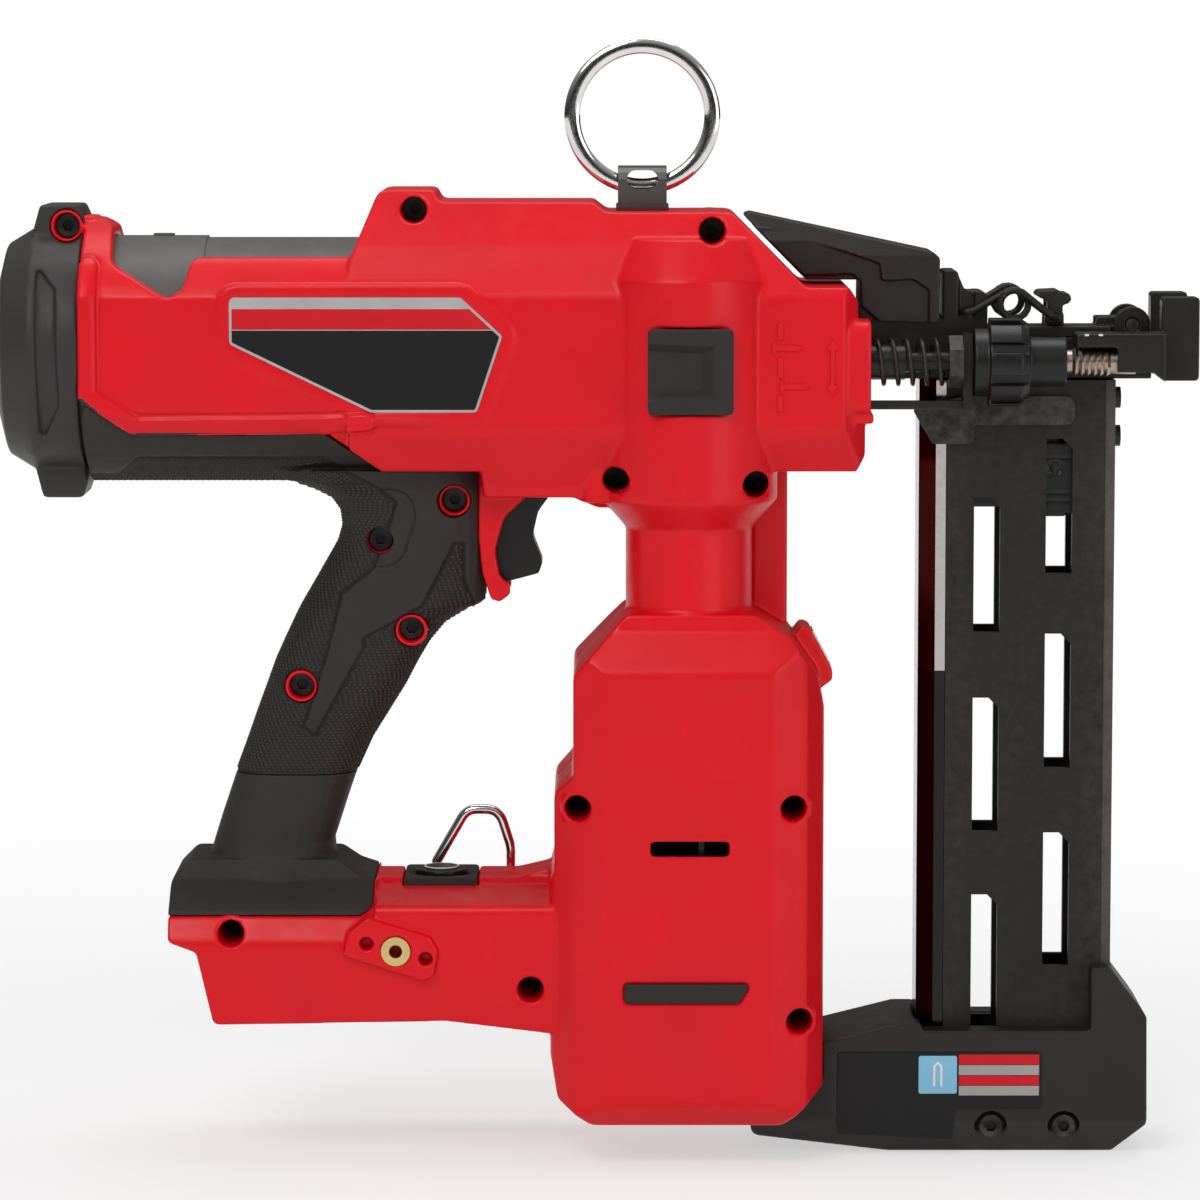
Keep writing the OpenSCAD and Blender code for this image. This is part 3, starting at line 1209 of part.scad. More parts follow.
wire_half = concat(
    [[pivot_x, wire_out_y - 2, pivot_z], [pivot_x - 0.5, wire_out_y - 0.5, pivot_z + 0.2],
        [pivot_x - 1.7, wire_out_y, pivot_z + 0.8], [pivot_x - 4.4, wire_out_y, pivot_z + 2.8]],
    curl_points,
    [[curl_x - 5.4, wire_y, curl_z + 2], [notch_x + 2.6, wire_y, wire_z + 0.4],
        [notch_x + 0.7, wire_y - 0.5, wire_z + 0.1], [notch_x, wire_y - 1.8, wire_z],
        [notch_x, wire_y - 2.9, wire_z]]);
wire_path = concat([for (i = [len(wire_half) - 1:-1:0]) wire_half[i]],
    [for (q = wire_half) [q[0], -q[1], q[2]]]);
module latch_wire() {
    color("#3a3a3b") tube(wire_path, wire_r, 8, [0, 0, 1]);
}

// Depth setting and trip line.
wheel_x0 = nose_x + 41.2;
wheel_x1 = wheel_x0 + 12.4;
collar_x0 = wheel_x0 - 4.8;
sleeve_x1 = wheel_x1 + 11.8;
strap_x0 = nose_x + 33.2;
strap_x1 = collar_x0 - 0.4;
rod_z = depth_z - 13.5;
module depth_wheel() {
    color("#2f2f30") difference() {
        union() {
            xcyl(10.6, collar_x0, wheel_x0 + 1, -depth_y, depth_z);
            difference() {
                turned([[0, wheel_x0], [wheel_r, wheel_x0], [wheel_r, wheel_x1 - 2.6],
                    [wheel_r - 1.8, wheel_x1], [0, wheel_x1]], -depth_y, depth_z);
                for (k = [0:wheel_lobes - 1]) translate([wheel_x0 - 1, -depth_y, depth_z])
                    rotate([360 / wheel_lobes * (k + 0.5), 0, 0])
                        box([0, -1.7, wheel_r - 2.2], [20, 1.7, wheel_r + 5]);
            }
            xcyl(7.9, wheel_x1 - 1, sleeve_x1, -depth_y, depth_z);
        }
        xcyl(stem_r + run_gap, collar_x0 - 1, wheel_x0 + 1, -depth_y, depth_z);
        xcyl(depth_screw_r + run_gap, wheel_x0, sleeve_x1 + 1, -depth_y, depth_z);
    }
}
screw_x1 = nose_x + 81.3;
screw_x0 = wheel_x0 + 2;
thread_h = 0.7;
thread_turns = floor((screw_x1 - sleeve_x1 - 3) / depth_pitch);
thread_x0 = screw_x1 - 2 - thread_turns * depth_pitch;
module depth_screw() {
    profile = concat(
        [[0, screw_x0], [depth_screw_r - thread_h, screw_x0], [depth_screw_r - thread_h, thread_x0]],
        [for (i = [0:thread_turns - 1]) each [
            [depth_screw_r, thread_x0 + depth_pitch * (i + 0.5)],
            [depth_screw_r - thread_h, thread_x0 + depth_pitch * (i + 1)]]],
        [[depth_screw_r - thread_h, screw_x1 + 6], [0, screw_x1 + 6]]);
    color("#b9a58c") turned(profile, -depth_y, depth_z);
}
prong_x0 = nose_x + 96;
prong_x1 = nose_x + 107.8;
prong_in = nose_half_w + 2.9;
prong_out = 22;
bridge_x0 = nose_front + trip_travel + depth_pitch / 2 + 0.7;
module contact_foot() {
    color("#353537") difference() {
        union() {
            both_sides() side(rounded(shifted(raised([[0, -9, 1], [0, 17.3, 1], [11.8, 17.3, 1],
                [11.8, -9, 1]], drive_z), prong_x0)), -prong_out, -prong_in);
            side(rounded(shifted(raised([[81.3, -5.8], [81.3, 2], [68.5, 2], [68.5, 6.2, 0.6], [96.5, 6.2],
                [96.5, -9], [92.6, -5.8, 1]], drive_z), nose_x)), -depth_y - 5.5, -prong_in - 0.4);
            box([bridge_x0, -prong_out, drive_z - 9], [bridge_x0 + 3, prong_out, drive_z + 5]);
        }
        box([nose_front, -blade_slot_half_w - 0.5, drive_z - 3.6],
            [prong_x1 + 5, blade_slot_half_w + 0.5, drive_z + 3.6]);
        xcyl(depth_screw_r - thread_h + run_gap, nose_x + 60, screw_x1 + 6.1, -depth_y, depth_z);
        xcyl(depth_screw_r + 0.3, nose_x + 60, screw_x1, -depth_y, depth_z);
    }
}
module trip_link() {
    color("#2a2a2b") {
        xcyl(stem_r, nose_x - 16, wheel_x0 - 0.4, -depth_y, depth_z);
        box([nose_x - 8, -depth_y - 2, rod_z - 1.3], [strap_x1, -depth_y + 2, rod_z + 1.3]);
        box([strap_x0, -depth_y - 4.5, rod_z - 1.3], [strap_x1, -depth_y + 4.5, depth_z + 9]);
    }
}
module depth_nut() {
    color("#232323") difference() {
        translate([spring_x1 + 0.3, -depth_y, depth_z]) rotate([0, 90, 0])
            cylinder(r = 8.3, h = strap_x0 - spring_x1 - 0.4, $fn = 6);
        xcyl(stem_r + press_gap, nose_x, nose_x + 50, -depth_y, depth_z);
    }
}
module trip_guide() {
    color("#202021") difference() {
        xcyl(5.6, nose_x + 4.1, nose_x + 15, -depth_y, depth_z);
        xcyl(stem_r + free_gap, nose_x, nose_x + 30, -depth_y, depth_z);
    }
}
rings_per_curl = 8;
spring_rings = rings_per_curl * spring_curls;
spring_step = (spring_x1 - spring_x0 - spring_wire) / spring_rings;
function spring_point(i) =
    let (a = 360 * i / rings_per_curl)
    [spring_x0 + spring_wire / 2 + spring_step * i,
        -depth_y + spring_r * cos(a), depth_z + spring_r * sin(a)];
spring_path = [for (i = [0:spring_rings]) spring_point(i)];
spring_gap = min([for (i = [0:spring_rings], j = [0:spring_rings])
    if (j > i + rings_per_curl / 2) norm(spring_path[i] - spring_path[j])]) - spring_wire;
module trip_spring() {
    echo(least_gap_of_trip_spring = spring_gap);
    color("#4c4c4e") tube(spring_path, spring_wire / 2, 6, [1, 0, 0]);
}

// Magazine.
window_x = [17.4, 40.2];
window_z = [[-46.6, -110.5, -173.8], [-27.8, -90, -153.8]];
slope = 3.4;
module window(x, z) {
    side([[x, z], [x, z - window_l], [x + window_w, z - window_l], [x + window_w, z - slope], [x + 5, z]],
        -far, far);
}
module plate_form() {
    difference() {
        box([mag_x0 + rail_depth + fit_gap, -magazine_half_w, mag_bottom],
            [mag_x1 - strip_t - fit_gap, -channel_half_w, mag_top]);
        for (c = [0, 1], z = window_z[c]) window(mag_x0 + window_x[c], drive_z + z);
    }
}
module magazine_plate_right() {
    color("#1e1f20") plate_form();
}
module magazine_plate_left() {
    color("#1e1f20") mirror([0, 1, 0]) plate_form();
}
rail_half_w = magazine_half_w - 0.3;
rail_plan = [
    [0, -rail_half_w + 3.2, 0.6], [5.2, -rail_half_w], [rail_depth, -rail_half_w], [rail_depth, rail_half_w],
    [5.2, rail_half_w], [0, rail_half_w - 3.2, 0.6]];
module rail_form(z0, z1) {
    difference() {
        plan(rounded(shifted(rail_plan, mag_x0)), z0, z1);
        box([mag_x0 + 3, -channel_half_w, z0 - 1], [mag_x0 + 20, channel_half_w, z1 + 1]);
    }
}
module magazine_rail() {
    color("#c9ccd0") rail_form(rail_split_z + fit_gap, mag_top);
}
module magazine_spine() {
    color("#1e1f20") rail_form(mag_bottom, rail_split_z);
}
module magazine_strip() {
    color("#6b6d70") box([mag_x1 - strip_t, -magazine_half_w + 0.8, mag_bottom],
        [mag_x1, magazine_half_w - 0.8, mag_top]);
}
pusher_top = drive_z - 29.4;
coil_x = mag_x0 + 31.5;
coil_z = pusher_top - pusher_h / 2;
module pusher() {
    x0 = mag_x0 + rail_depth + 1.6;
    x1 = mag_x1 - strip_t - 1.6;
    low = pusher_top - pusher_h;
    half_w = channel_half_w - free_gap;
    rivet = [mag_x0 + 43.2, pusher_top - 8];
    color("#29292a") difference() {
        side([[x0, low + 3.1], [mag_x0 + 36, low + 3.1], [mag_x0 + 36, low], [mag_x0 + 46.6, low],
            [mag_x0 + 46.6, low + 1], [x1, low + 1], [x1, pusher_top], [x0, pusher_top]], -half_w, half_w);
        ycyl(6.2, -5, 5, coil_x, coil_z);
        box([coil_x, -5, coil_z + 5], [coil_x + 8.5, 5, pusher_top + 1]);
        both_sides() {
            difference() {
                ycyl(2.3, -far, 0.8 - half_w, rivet[0], rivet[1]);
                ycyl(1.4, -far, 0, rivet[0], rivet[1]);
            }
            for (z = [4.6, 15.8, 18.2])
                box([mag_x0 + 38, -far, pusher_top - z - 0.7], [x1 + 1, 0.8 - half_w, pusher_top - z]);
        }
    }
}
module pusher_spring() {
    color("#a9adb0") difference() {
        ycyl(5.8, -4.6, 4.6, coil_x, coil_z);
        ycyl(3, -5, 5, coil_x, coil_z);
    }
}
mag_foot_top = -17.3;
mag_foot_low = -57.8;
mag_foot_outline = [
    [motor_x + 20, mag_foot_top - 3.8], [motor_x + 42, mag_foot_top - 3.8, 8],
    [mag_x0 - 6, mag_foot_top + 2.5, 2], [mag_x0 + 1, mag_foot_top + 2.5, 1],
    [mag_x0 + 1.6, mag_foot_top], [mag_x1 - 7, mag_foot_top, 1],
    [mag_x1 - 7, 3, 0.6], [mag_x1 - 0.8, 3, 1], [mag_x1 + 9, -10, 2], [mag_x1 + 11, -13, 2],
    [mag_x1 + 11.4, -47.8, 2], [mag_x1 + 0.9, mag_foot_low, 2], [mag_x0 - 9, mag_foot_low, 3],
    [motor_x + 20, mag_foot_low + 6, 3]];
mag_screws = [[mag_x0 + 23.6, -48.3], [mag_x0 + 46.9, -48.3]];
foot_label = [
    [mag_x0 - 26, mag_foot_top - 6.5, 1.5], [mag_x0 + 40, mag_foot_top - 6.5, 1.5], [mag_x0 + 40, -43, 1.5],
    [mag_x0 + 12, -43, 1.5], [mag_x0 + 12, -53, 1.5], [mag_x0 - 26, -51, 1.5]];
module magazine_foot() {
    color("#232324") difference() {
        intersection() {
            side(rounded(mag_foot_outline), -mag_foot_half_w, mag_foot_half_w);
            section(rounded([[-mag_foot_half_w, -46, 3], [-mag_foot_half_w, 8], [mag_foot_half_w, 8],
                [mag_foot_half_w, -46, 3], [mag_foot_half_w - 9, mag_foot_low - 1],
                [-mag_foot_half_w + 9, mag_foot_low - 1]]), 100, 300);
        }
        column_form(-fit_gap);
        box([mag_x0 - 0.3, -magazine_half_w - 0.2, mag_bottom - fit_gap],
            [mag_x1 + 0.3, magazine_half_w + 0.2, 60]);
        box([mag_x0 + rail_depth + 0.5, -channel_half_w, -80], [mag_x1 - strip_t - 0.5, channel_half_w, 10]);
        for (s = mag_screws) {
            ycyl(recess_r + 0.8, -far, -mag_foot_half_w + 4, s[0], s[1]);
            ycyl(shank_r + fit_gap, -far, -channel_half_w + 1, s[0], s[1]);
        }
        side(rounded(foot_label), -far, -mag_foot_half_w + 0.5);
    }
}
module magazine_screw_set() {
    for (s = mag_screws) difference() {
        union() {
            ycyl(head_r, -mag_foot_half_w + 0.8, -mag_foot_half_w + 3.95, s[0], s[1]);
            ycyl(shank_r, -mag_foot_half_w + 3, -channel_half_w - 0.6, s[0], s[1]);
        }
        translate([s[0], -mag_foot_half_w, s[1]]) rotate([-90, 0, 0])
            cylinder(r = 1.9, h = 2.4, $fn = 6);
    }
    for (z = [-15.6, -27.8]) {
        xcyl(3.4, mag_x1 + 0.1, mag_x1 + 2.6, 0, drive_z + z);
    }
}
module side_bracket() {
    outline = [
        [-2.5, -18.4, 1], [13.9, -14.3, 1], [49, -14.3, 3], [49, -23.5, 3], [17, -23.5, 1],
        [17, -29.5, 1], [4, -29.5, 1]];
    color("#2a2a2b") side(rounded(shifted(raised(outline, drive_z), mag_x0)), -magazine_half_w - 1.6,
        -magazine_half_w - 0.1);
}

housing_right();
housing_left();
handle_left();
rear_cap();
grip_right();
grip_left();
foot_boot();
gas_tank();
drive_cylinder();
bumper();
piston();
piston_seals();
driver_blade();
lifter_frame();
lifter_wheel();
output_carrier();
planet_1();
planet_2();
planet_3();
sun_gear();
ring_gear();
bearings();
stator();
rotor();
fan();
trigger();
hinge_pins();
switches();
control_unit();
button_bezel();
mode_button();
work_light_lens();
belt_hook_inserts();
base_loop();
lanyard_bracket();
lanyard_ring();
side_pads();
blank_plates();
screws();
nose_cover();
nose_frame();
nose_door();
latch_lever();
latch_wire();
depth_wheel();
contact_foot();
depth_screw();
trip_link();
depth_nut();
trip_guide();
trip_spring();
magazine_plate_right();
magazine_plate_left();
magazine_rail();
magazine_spine();
magazine_strip();
pusher();
pusher_spring();
magazine_foot();
side_bracket();
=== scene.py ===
"""Studio picture of a cordless fencing stapler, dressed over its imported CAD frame."""

import json
import math

import bmesh
import bpy
import numpy as np
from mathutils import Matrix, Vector
from mathutils.bvhtree import BVHTree

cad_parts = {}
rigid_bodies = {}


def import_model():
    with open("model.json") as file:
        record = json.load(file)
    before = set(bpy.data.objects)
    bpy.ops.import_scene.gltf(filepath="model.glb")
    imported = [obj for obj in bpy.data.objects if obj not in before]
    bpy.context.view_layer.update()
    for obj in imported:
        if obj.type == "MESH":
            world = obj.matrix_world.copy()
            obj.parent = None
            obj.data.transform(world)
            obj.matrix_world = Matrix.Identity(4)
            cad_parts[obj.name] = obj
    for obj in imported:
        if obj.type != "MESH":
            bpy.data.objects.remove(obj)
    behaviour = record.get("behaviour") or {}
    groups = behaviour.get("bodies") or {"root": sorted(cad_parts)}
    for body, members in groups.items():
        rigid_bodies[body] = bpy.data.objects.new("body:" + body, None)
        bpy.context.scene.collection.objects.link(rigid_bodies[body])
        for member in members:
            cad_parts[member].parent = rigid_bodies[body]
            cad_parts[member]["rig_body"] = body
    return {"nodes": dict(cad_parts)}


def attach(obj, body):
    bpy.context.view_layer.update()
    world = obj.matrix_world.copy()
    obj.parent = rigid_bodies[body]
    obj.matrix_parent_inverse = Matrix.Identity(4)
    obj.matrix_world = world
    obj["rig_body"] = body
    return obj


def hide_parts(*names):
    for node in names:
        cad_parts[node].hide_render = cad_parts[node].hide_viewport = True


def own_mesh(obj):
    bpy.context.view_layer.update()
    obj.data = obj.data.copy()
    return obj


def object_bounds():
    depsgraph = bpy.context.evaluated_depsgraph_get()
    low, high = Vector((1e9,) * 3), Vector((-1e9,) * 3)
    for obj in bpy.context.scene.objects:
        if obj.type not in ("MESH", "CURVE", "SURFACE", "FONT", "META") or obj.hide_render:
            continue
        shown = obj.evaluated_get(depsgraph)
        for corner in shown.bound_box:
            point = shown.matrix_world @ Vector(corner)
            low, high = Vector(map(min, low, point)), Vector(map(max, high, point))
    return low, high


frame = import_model()
cad_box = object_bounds()
nodes = frame["nodes"]
MM = 0.001
FULL_TURN = 2.0 * math.pi


# Materials


def srgb(r, g, b):
    """A linear colour from eight bit display values."""
    def channel(c):
        c /= 255.0
        return c / 12.92 if c <= 0.04045 else ((c + 0.055) / 1.055) ** 2.4
    return (channel(r), channel(g), channel(b), 1.0)


def shade(color, amount):
    """The colour made lighter or darker."""
    return tuple(min(1.0, c * amount) for c in color[:3]) + (1.0,)


WHITE = (1.0, 1.0, 1.0, 1.0)
BARE_STEEL = srgb(120, 116, 110)
GRAIN_MM = 0.5


class Shader:
    """A small helper that adds nodes to one material's tree."""

    def __init__(self, name):
        self.material = bpy.data.materials.new(name)
        self.material.use_nodes = True
        self.tree = self.material.node_tree
        self.bsdf = self.tree.nodes["Principled BSDF"]
        self.place = self.tree.nodes.new("ShaderNodeTexCoord").outputs["Object"]

    def node(self, kind, **settings):
        made = self.tree.nodes.new(kind)
        for key, value in settings.items():
            setattr(made, key, value)
        return made

    def link(self, a, b):
        self.tree.links.new(a, b)

    def geometry(self, output):
        return self.node("ShaderNodeNewGeometry").outputs[output]

    def noise(self, scale, detail=3.0, rough=0.55, stretch=None):
        """Soft noise with the given number of waves in a metre."""
        made = self.node("ShaderNodeTexNoise")
        made.inputs["Scale"].default_value = scale
        made.inputs["Detail"].default_value = detail
        made.inputs["Roughness"].default_value = rough
        source = self.place
        if stretch:
            mapping = self.node("ShaderNodeMapping")
            mapping.inputs["Scale"].default_value = stretch
            self.link(source, mapping.inputs["Vector"])
            source = mapping.outputs["Vector"]
        self.link(source, made.inputs["Vector"])
        return made.outputs["Fac"]

    def spread(self, value, low, high, start=0.3, end=0.7):
        """The value's run from start to end, mapped to the run from low to high."""
        made = self.node("ShaderNodeMapRange")
        for key, number in (("From Min", start), ("From Max", end),
                            ("To Min", low), ("To Max", high)):
            made.inputs[key].default_value = number
        self.link(value, made.inputs["Value"])
        return made.outputs["Result"]

    def math(self, kind, a, b):
        made = self.node("ShaderNodeMath", operation=kind)
        self.link(a, made.inputs[0])
        self.link(b, made.inputs[1])
        return made.outputs["Value"]

    def mix(self, fac, a, b):
        made = self.node("ShaderNodeMix", data_type="RGBA")
        self.link(fac, made.inputs["Factor"])
        for key, value in (("A", a), ("B", b)):
            socket = [s for s in made.inputs if s.name == key and s.type == "RGBA"][0]
            if isinstance(value, tuple):
                socket.default_value = value
            else:
                self.link(value, socket)
        return [s for s in made.outputs if s.type == "RGBA"][0]

    def clouded(self, color, scale, detail, low, high):
        """The colour in faint clouds, from a darker to a lighter shade."""
        cloud = self.spread(self.noise(scale, detail), 0.0, 1.0)
        return self.mix(cloud, shade(color, low), shade(color, high))

    def edges(self, amount, start, end):
        """How strongly the sharp edges are marked, from none to the amount. In the coats
        this is chipping; in the moulded plastics it is rubbed wear with a painted
        highlight, and on the soft grip a painted highlight.
        """
        return self.spread(self.geometry("Pointiness"), 0.0, amount, start, end)

    def bump(self, height, depth_mm, strength=0.5):
        made = self.node("ShaderNodeBump")
        made.inputs["Strength"].default_value = strength
        made.inputs["Distance"].default_value = depth_mm * MM
        self.link(height, made.inputs["Height"])
        return made.outputs["Normal"]

    def set(self, socket, value):
        target = self.bsdf.inputs[socket]
        if isinstance(value, (int, float, tuple)):
            target.default_value = value
        else:
            self.link(value, target)


def moulded(name, color, rough, grain_depth=0.02, gloss=0.2, wear_and_highlight=0.12):
    """Moulded plastic with a fine eroded grain, faint cloudiness, and sharp edges lightened
    by rubbed wear and a painted highlight.
    """
    s = Shader(name)
    toned = s.clouded(color, scale=28.0, detail=4.0, low=0.93, high=1.06)
    # Sharp edges lightened: rubbed wear and a painted edge highlight.
    edge = s.edges(wear_and_highlight, start=0.515, end=0.56)
    s.set("Base Color", s.mix(edge, toned, shade(color, 1.7)))
    s.set("Roughness", s.spread(s.noise(160.0), low=rough - 0.05, high=rough + 0.07))
    grain = s.noise(1.0 / (GRAIN_MM * MM), detail=2.0, rough=0.6)
    s.set("Normal", s.bump(grain, grain_depth))
    s.set("Specular IOR Level", gloss)
    return s.material


def metal(name, color, rough, brush=None, depth=0.004, spots=0.08):
    """Metal with a slight brushed or rolled surface and uneven gloss."""
    s = Shader(name)
    s.set("Metallic", 1.0)
    s.set("Base Color", s.clouded(color, scale=60.0, detail=5.0, low=0.88, high=1.05))
    fine = s.noise(900.0, detail=2.0, rough=0.6, stretch=brush)
    s.set("Roughness", s.spread(fine, low=rough - spots * 0.5, high=rough + spots))
    s.set("Normal", s.bump(fine, depth, strength=0.4))
    return s.material


def coated(name, color, rough, peel=1400.0, depth=0.02, chips=0.3):
    """Powder coat or black oxide over steel, with fine peel and bright chips on edges."""
    s = Shader(name)
    toned = s.clouded(color, scale=40.0, detail=4.0, low=0.85, high=1.15)
    edge = s.edges(1.0, start=0.53, end=0.6)
    broken = s.math("MULTIPLY", edge, s.spread(s.noise(300.0), low=0.0, high=chips))
    s.set("Base Color", s.mix(broken, toned, BARE_STEEL))
    s.set("Roughness", s.spread(s.noise(220.0), low=rough - 0.06, high=rough + 0.06))
    s.set("Normal", s.bump(s.noise(peel, detail=2.0), depth))
    s.set("Specular IOR Level", 0.25)
    return s.material


def plate_painted_reflection(name, light, dark):
    """Polished plate with a painted reflection: the rounded back, turned to the red column,
    is painted the dark colour, as if it mirrored the column.
    """
    s = Shader(name)
    s.set("Metallic", 1.0)
    turned = s.node("ShaderNodeSeparateXYZ")
    s.link(s.geometry("Normal"), turned.inputs["Vector"])
    # Painted reflection: faces turned towards -X, to the red column, get the dark colour in
    # place of the plate's own.
    back = s.spread(turned.outputs["X"], low=1.0, high=0.0, start=-0.45, end=-0.15)
    along = s.noise(60.0, detail=5.0, stretch=(1.0, 1.0, 0.1))
    stain = s.spread(along, low=0.0, high=1.0)
    front = s.mix(stain, shade(light, 0.85), light)
    s.set("Base Color", s.mix(back, front, s.mix(stain, shade(dark, 0.6), dark)))
    s.set("Roughness", s.spread(s.noise(500.0), low=0.1, high=0.18))
    return s.material


def soft_grip(name, color, light):
    """Soft grey skin with a fine matt grain, with a painted highlight that makes its raised
    parts a little lighter.
    """
    s = Shader(name)
    toned = s.clouded(color, scale=35.0, detail=4.0, low=0.9, high=1.1)
    # Painted highlight: sharp, raised parts are lightened by the given amount.
    edge = s.edges(light, start=0.5, end=0.6)
    s.set("Base Color", s.mix(edge, toned, shade(color, 1.9)))
    s.set("Roughness", s.spread(s.noise(260.0), low=0.54, high=0.66))
    s.set("Normal", s.bump(s.noise(1700.0, detail=2.0), 0.03))
    s.set("Specular IOR Level", 0.2)
    return s.material


def glass_lens(name):
    """Clear plastic, frosted a little."""
    s = Shader(name)
    s.set("Base Color", (0.93, 0.95, 0.97, 1.0))
    s.set("Transmission Weight", 0.6)
    s.set("Roughness", s.spread(s.noise(400.0), low=0.12, high=0.22))
    s.set("Normal", s.bump(s.noise(700.0), 0.02, strength=0.4))
    return s.material


red = moulded("red_plastic", srgb(212, 9, 24), 0.34, gloss=0.26)
cap_grey = moulded("cap_plastic", srgb(53, 51, 49), 0.46, grain_depth=0.03, gloss=0.25)
black = moulded("black_plastic", srgb(36, 32, 30), 0.4, grain_depth=0.03, gloss=0.3)
deep_black = moulded("deep_black_plastic", srgb(20, 18, 17), 0.34, gloss=0.35)
rubber_black = moulded("seal_rubber", srgb(28, 28, 28), 0.6)
pad_rubber = moulded("pad_rubber", srgb(46, 43, 41), 0.55, grain_depth=0.03, wear_and_highlight=0.2)
red_film = moulded("red_film", srgb(190, 22, 32), 0.36, grain_depth=0.004)
dark_film = moulded("dark_film", srgb(27, 26, 26), 0.34, grain_depth=0.004)
blue_film = moulded("blue_film", srgb(122, 178, 208), 0.4, grain_depth=0.004)
grey_film = moulded("grey_film", srgb(150, 148, 146), 0.4, grain_depth=0.004)
white_ink = moulded("white_ink", srgb(214, 214, 210), 0.5, grain_depth=0.004)

tank_paint = coated("tank_coat", srgb(88, 87, 84), 0.4, depth=0.01, chips=0.0)
oxide = coated("black_oxide", srgb(33, 30, 28), 0.34, depth=0.01)
strip_coat = coated("speckled_coat", srgb(70, 63, 60), 0.5, peel=2400.0, depth=0.03,
                    chips=0.2)
coat_black = coated("black_coat", srgb(31, 27, 26), 0.44, depth=0.015, chips=0.15)
screw_black = coated("screw_oxide", srgb(11, 10, 10), 0.34, depth=0.006)

steel = metal("ground_steel", (0.46, 0.45, 0.44, 1.0), 0.32, brush=(1.0, 1.0, 12.0))
bright = metal("polished_plate", (0.74, 0.73, 0.72, 1.0), 0.09, depth=0.001, spots=0.03)
cast = metal("cast_alloy", (0.55, 0.55, 0.56, 1.0), 0.42, depth=0.02)
dull_steel = metal("dull_steel", (0.13, 0.125, 0.12, 1.0), 0.36)
plated = metal("plated_screw", (0.42, 0.34, 0.28, 1.0), 0.3)
brass = metal("turned_brass", (0.72, 0.52, 0.22, 1.0), 0.26)
copper = metal("winding_copper", (0.72, 0.33, 0.14, 1.0), 0.38)
silver_film = metal("silver_film", (0.60, 0.60, 0.60, 1.0), 0.38, depth=0.002)
# Both plates carry a painted reflection of the red column, in dark red, on their rounded
# backs.
rail_painted_reflection = plate_painted_reflection("plate_painted_reflection", (0.5, 0.48, 0.45, 1.0), (0.05, 0.006, 0.005, 1.0))
spine_painted_reflection = plate_painted_reflection("spine_coat_painted_reflection", (0.03, 0.027, 0.026, 1.0),
                          (0.03, 0.006, 0.006, 1.0))

# Soft grip skins: the last number is the painted highlight on raised parts, strongest on
# the knurl's scales.
skin = soft_grip("soft_skin", srgb(49, 46, 43), 0.15)
# A darker copy of the skin, as painted shade on the sunk knurl ground, grooves and
# hairline.
skin_painted_shade = soft_grip("soft_skin_painted_shade", srgb(37, 34, 32), 0.1)
knurl = soft_grip("soft_skin_knurled", srgb(50, 47, 44), 0.3)
lens = glass_lens("clear_lens")


# Outlines in the side view, as (x, z) in millimetres

FAR = 1.0e9
TINY = 1.0e-6


def rounded(ring, n=4):
    """An outline with its corners rounded. A point is (x, z) or (x, z, radius)."""
    out = []
    for i, p in enumerate(ring):
        here = np.array(p[:2], float)
        if len(p) < 3 or p[2] <= 0.0:
            out.append(tuple(here))
            continue
        before = np.array(ring[i - 1][:2], float) - here
        after = np.array(ring[(i + 1) % len(ring)][:2], float) - here
        before /= np.linalg.norm(before)
        after /= np.linalg.norm(after)
        cut = p[2] / math.tan(math.acos(float(before @ after)) / 2.0)
        a, b = here + before * cut, here + after * cut
        for k in range(n + 1):
            t = k / n
            out.append(tuple(a * (1 - t) ** 2 + here * 2 * t * (1 - t) + b * t ** 2))
    return out


def block(x0, x1, z0, z1):
    """A rectangle."""
    return [(x0, z0), (x1, z0), (x1, z1), (x0, z1)]


def sides(ring):
    """Each point of a closed outline with the next."""
    return zip(ring, ring[1:] + ring[:1])


def clip(ring, point, inward):
    """The part of an outline on the inward side of a line."""
    out = []
    for a, b in sides(ring):
        da = (a[0] - point[0]) * inward[0] + (a[1] - point[1]) * inward[1]
        db = (b[0] - point[0]) * inward[0] + (b[1] - point[1]) * inward[1]
        if da >= 0.0:
            out.append(tuple(a))
        if (da >= 0.0) != (db >= 0.0):
            t = da / (da - db)
            out.append((a[0] + (b[0] - a[0]) * t, a[1] + (b[1] - a[1]) * t))
    return out


def shrunk(ring, d):
    """A convex outline moved inwards."""
    area = sum(a[0] * b[1] - a[1] * b[0] for a, b in sides(ring))
    out = list(ring)
    for a, b in sides(ring):
        size = math.hypot(b[0] - a[0], b[1] - a[1])
        if size < TINY:
            continue
        turn = math.copysign(1.0, area) / size
        inward = ((a[1] - b[1]) * turn, (b[0] - a[0]) * turn)
        out = clip(out, (a[0] + inward[0] * d, a[1] + inward[1] * d), inward)
    return out


def reach(points, line):
    """Distances of many side view points from a broken line."""
    best = np.full(len(points), FAR)
    for a, b in zip(line[:-1], line[1:]):
        a, b = np.array(a, float), np.array(b, float)
        step = b - a
        t = np.clip(((points - a) @ step) / (step @ step), 0.0, 1.0)
        away = np.linalg.norm(points - (a + t[:, None] * step), axis=1)
        best = np.minimum(best, away)
    return best


def within(points, ring):
    """Which side view points lie inside a closed outline."""
    found = np.zeros(len(points), bool)
    x, z = points[:, 0], points[:, 1]
    for (ax, az), (bx, bz) in sides(ring):
        if az == bz:
            continue
        crosses = (az > z) != (bz > z)
        found ^= crosses & (x < ax + (z - az) * (bx - ax) / (bz - az))
    return found


# Pieces made from the frame's own solids

SEAM_NEAR = 0.01
BEVEL_SEGMENTS = 2
NODE_BEVEL_ANGLE = math.radians(38.0)
SLAB_BEVEL_ANGLE = math.radians(30.0)
WIRE_END = 0.6


def linked(name, data):
    made = bpy.data.objects.new(name, data)
    bpy.context.collection.objects.link(made)
    return made


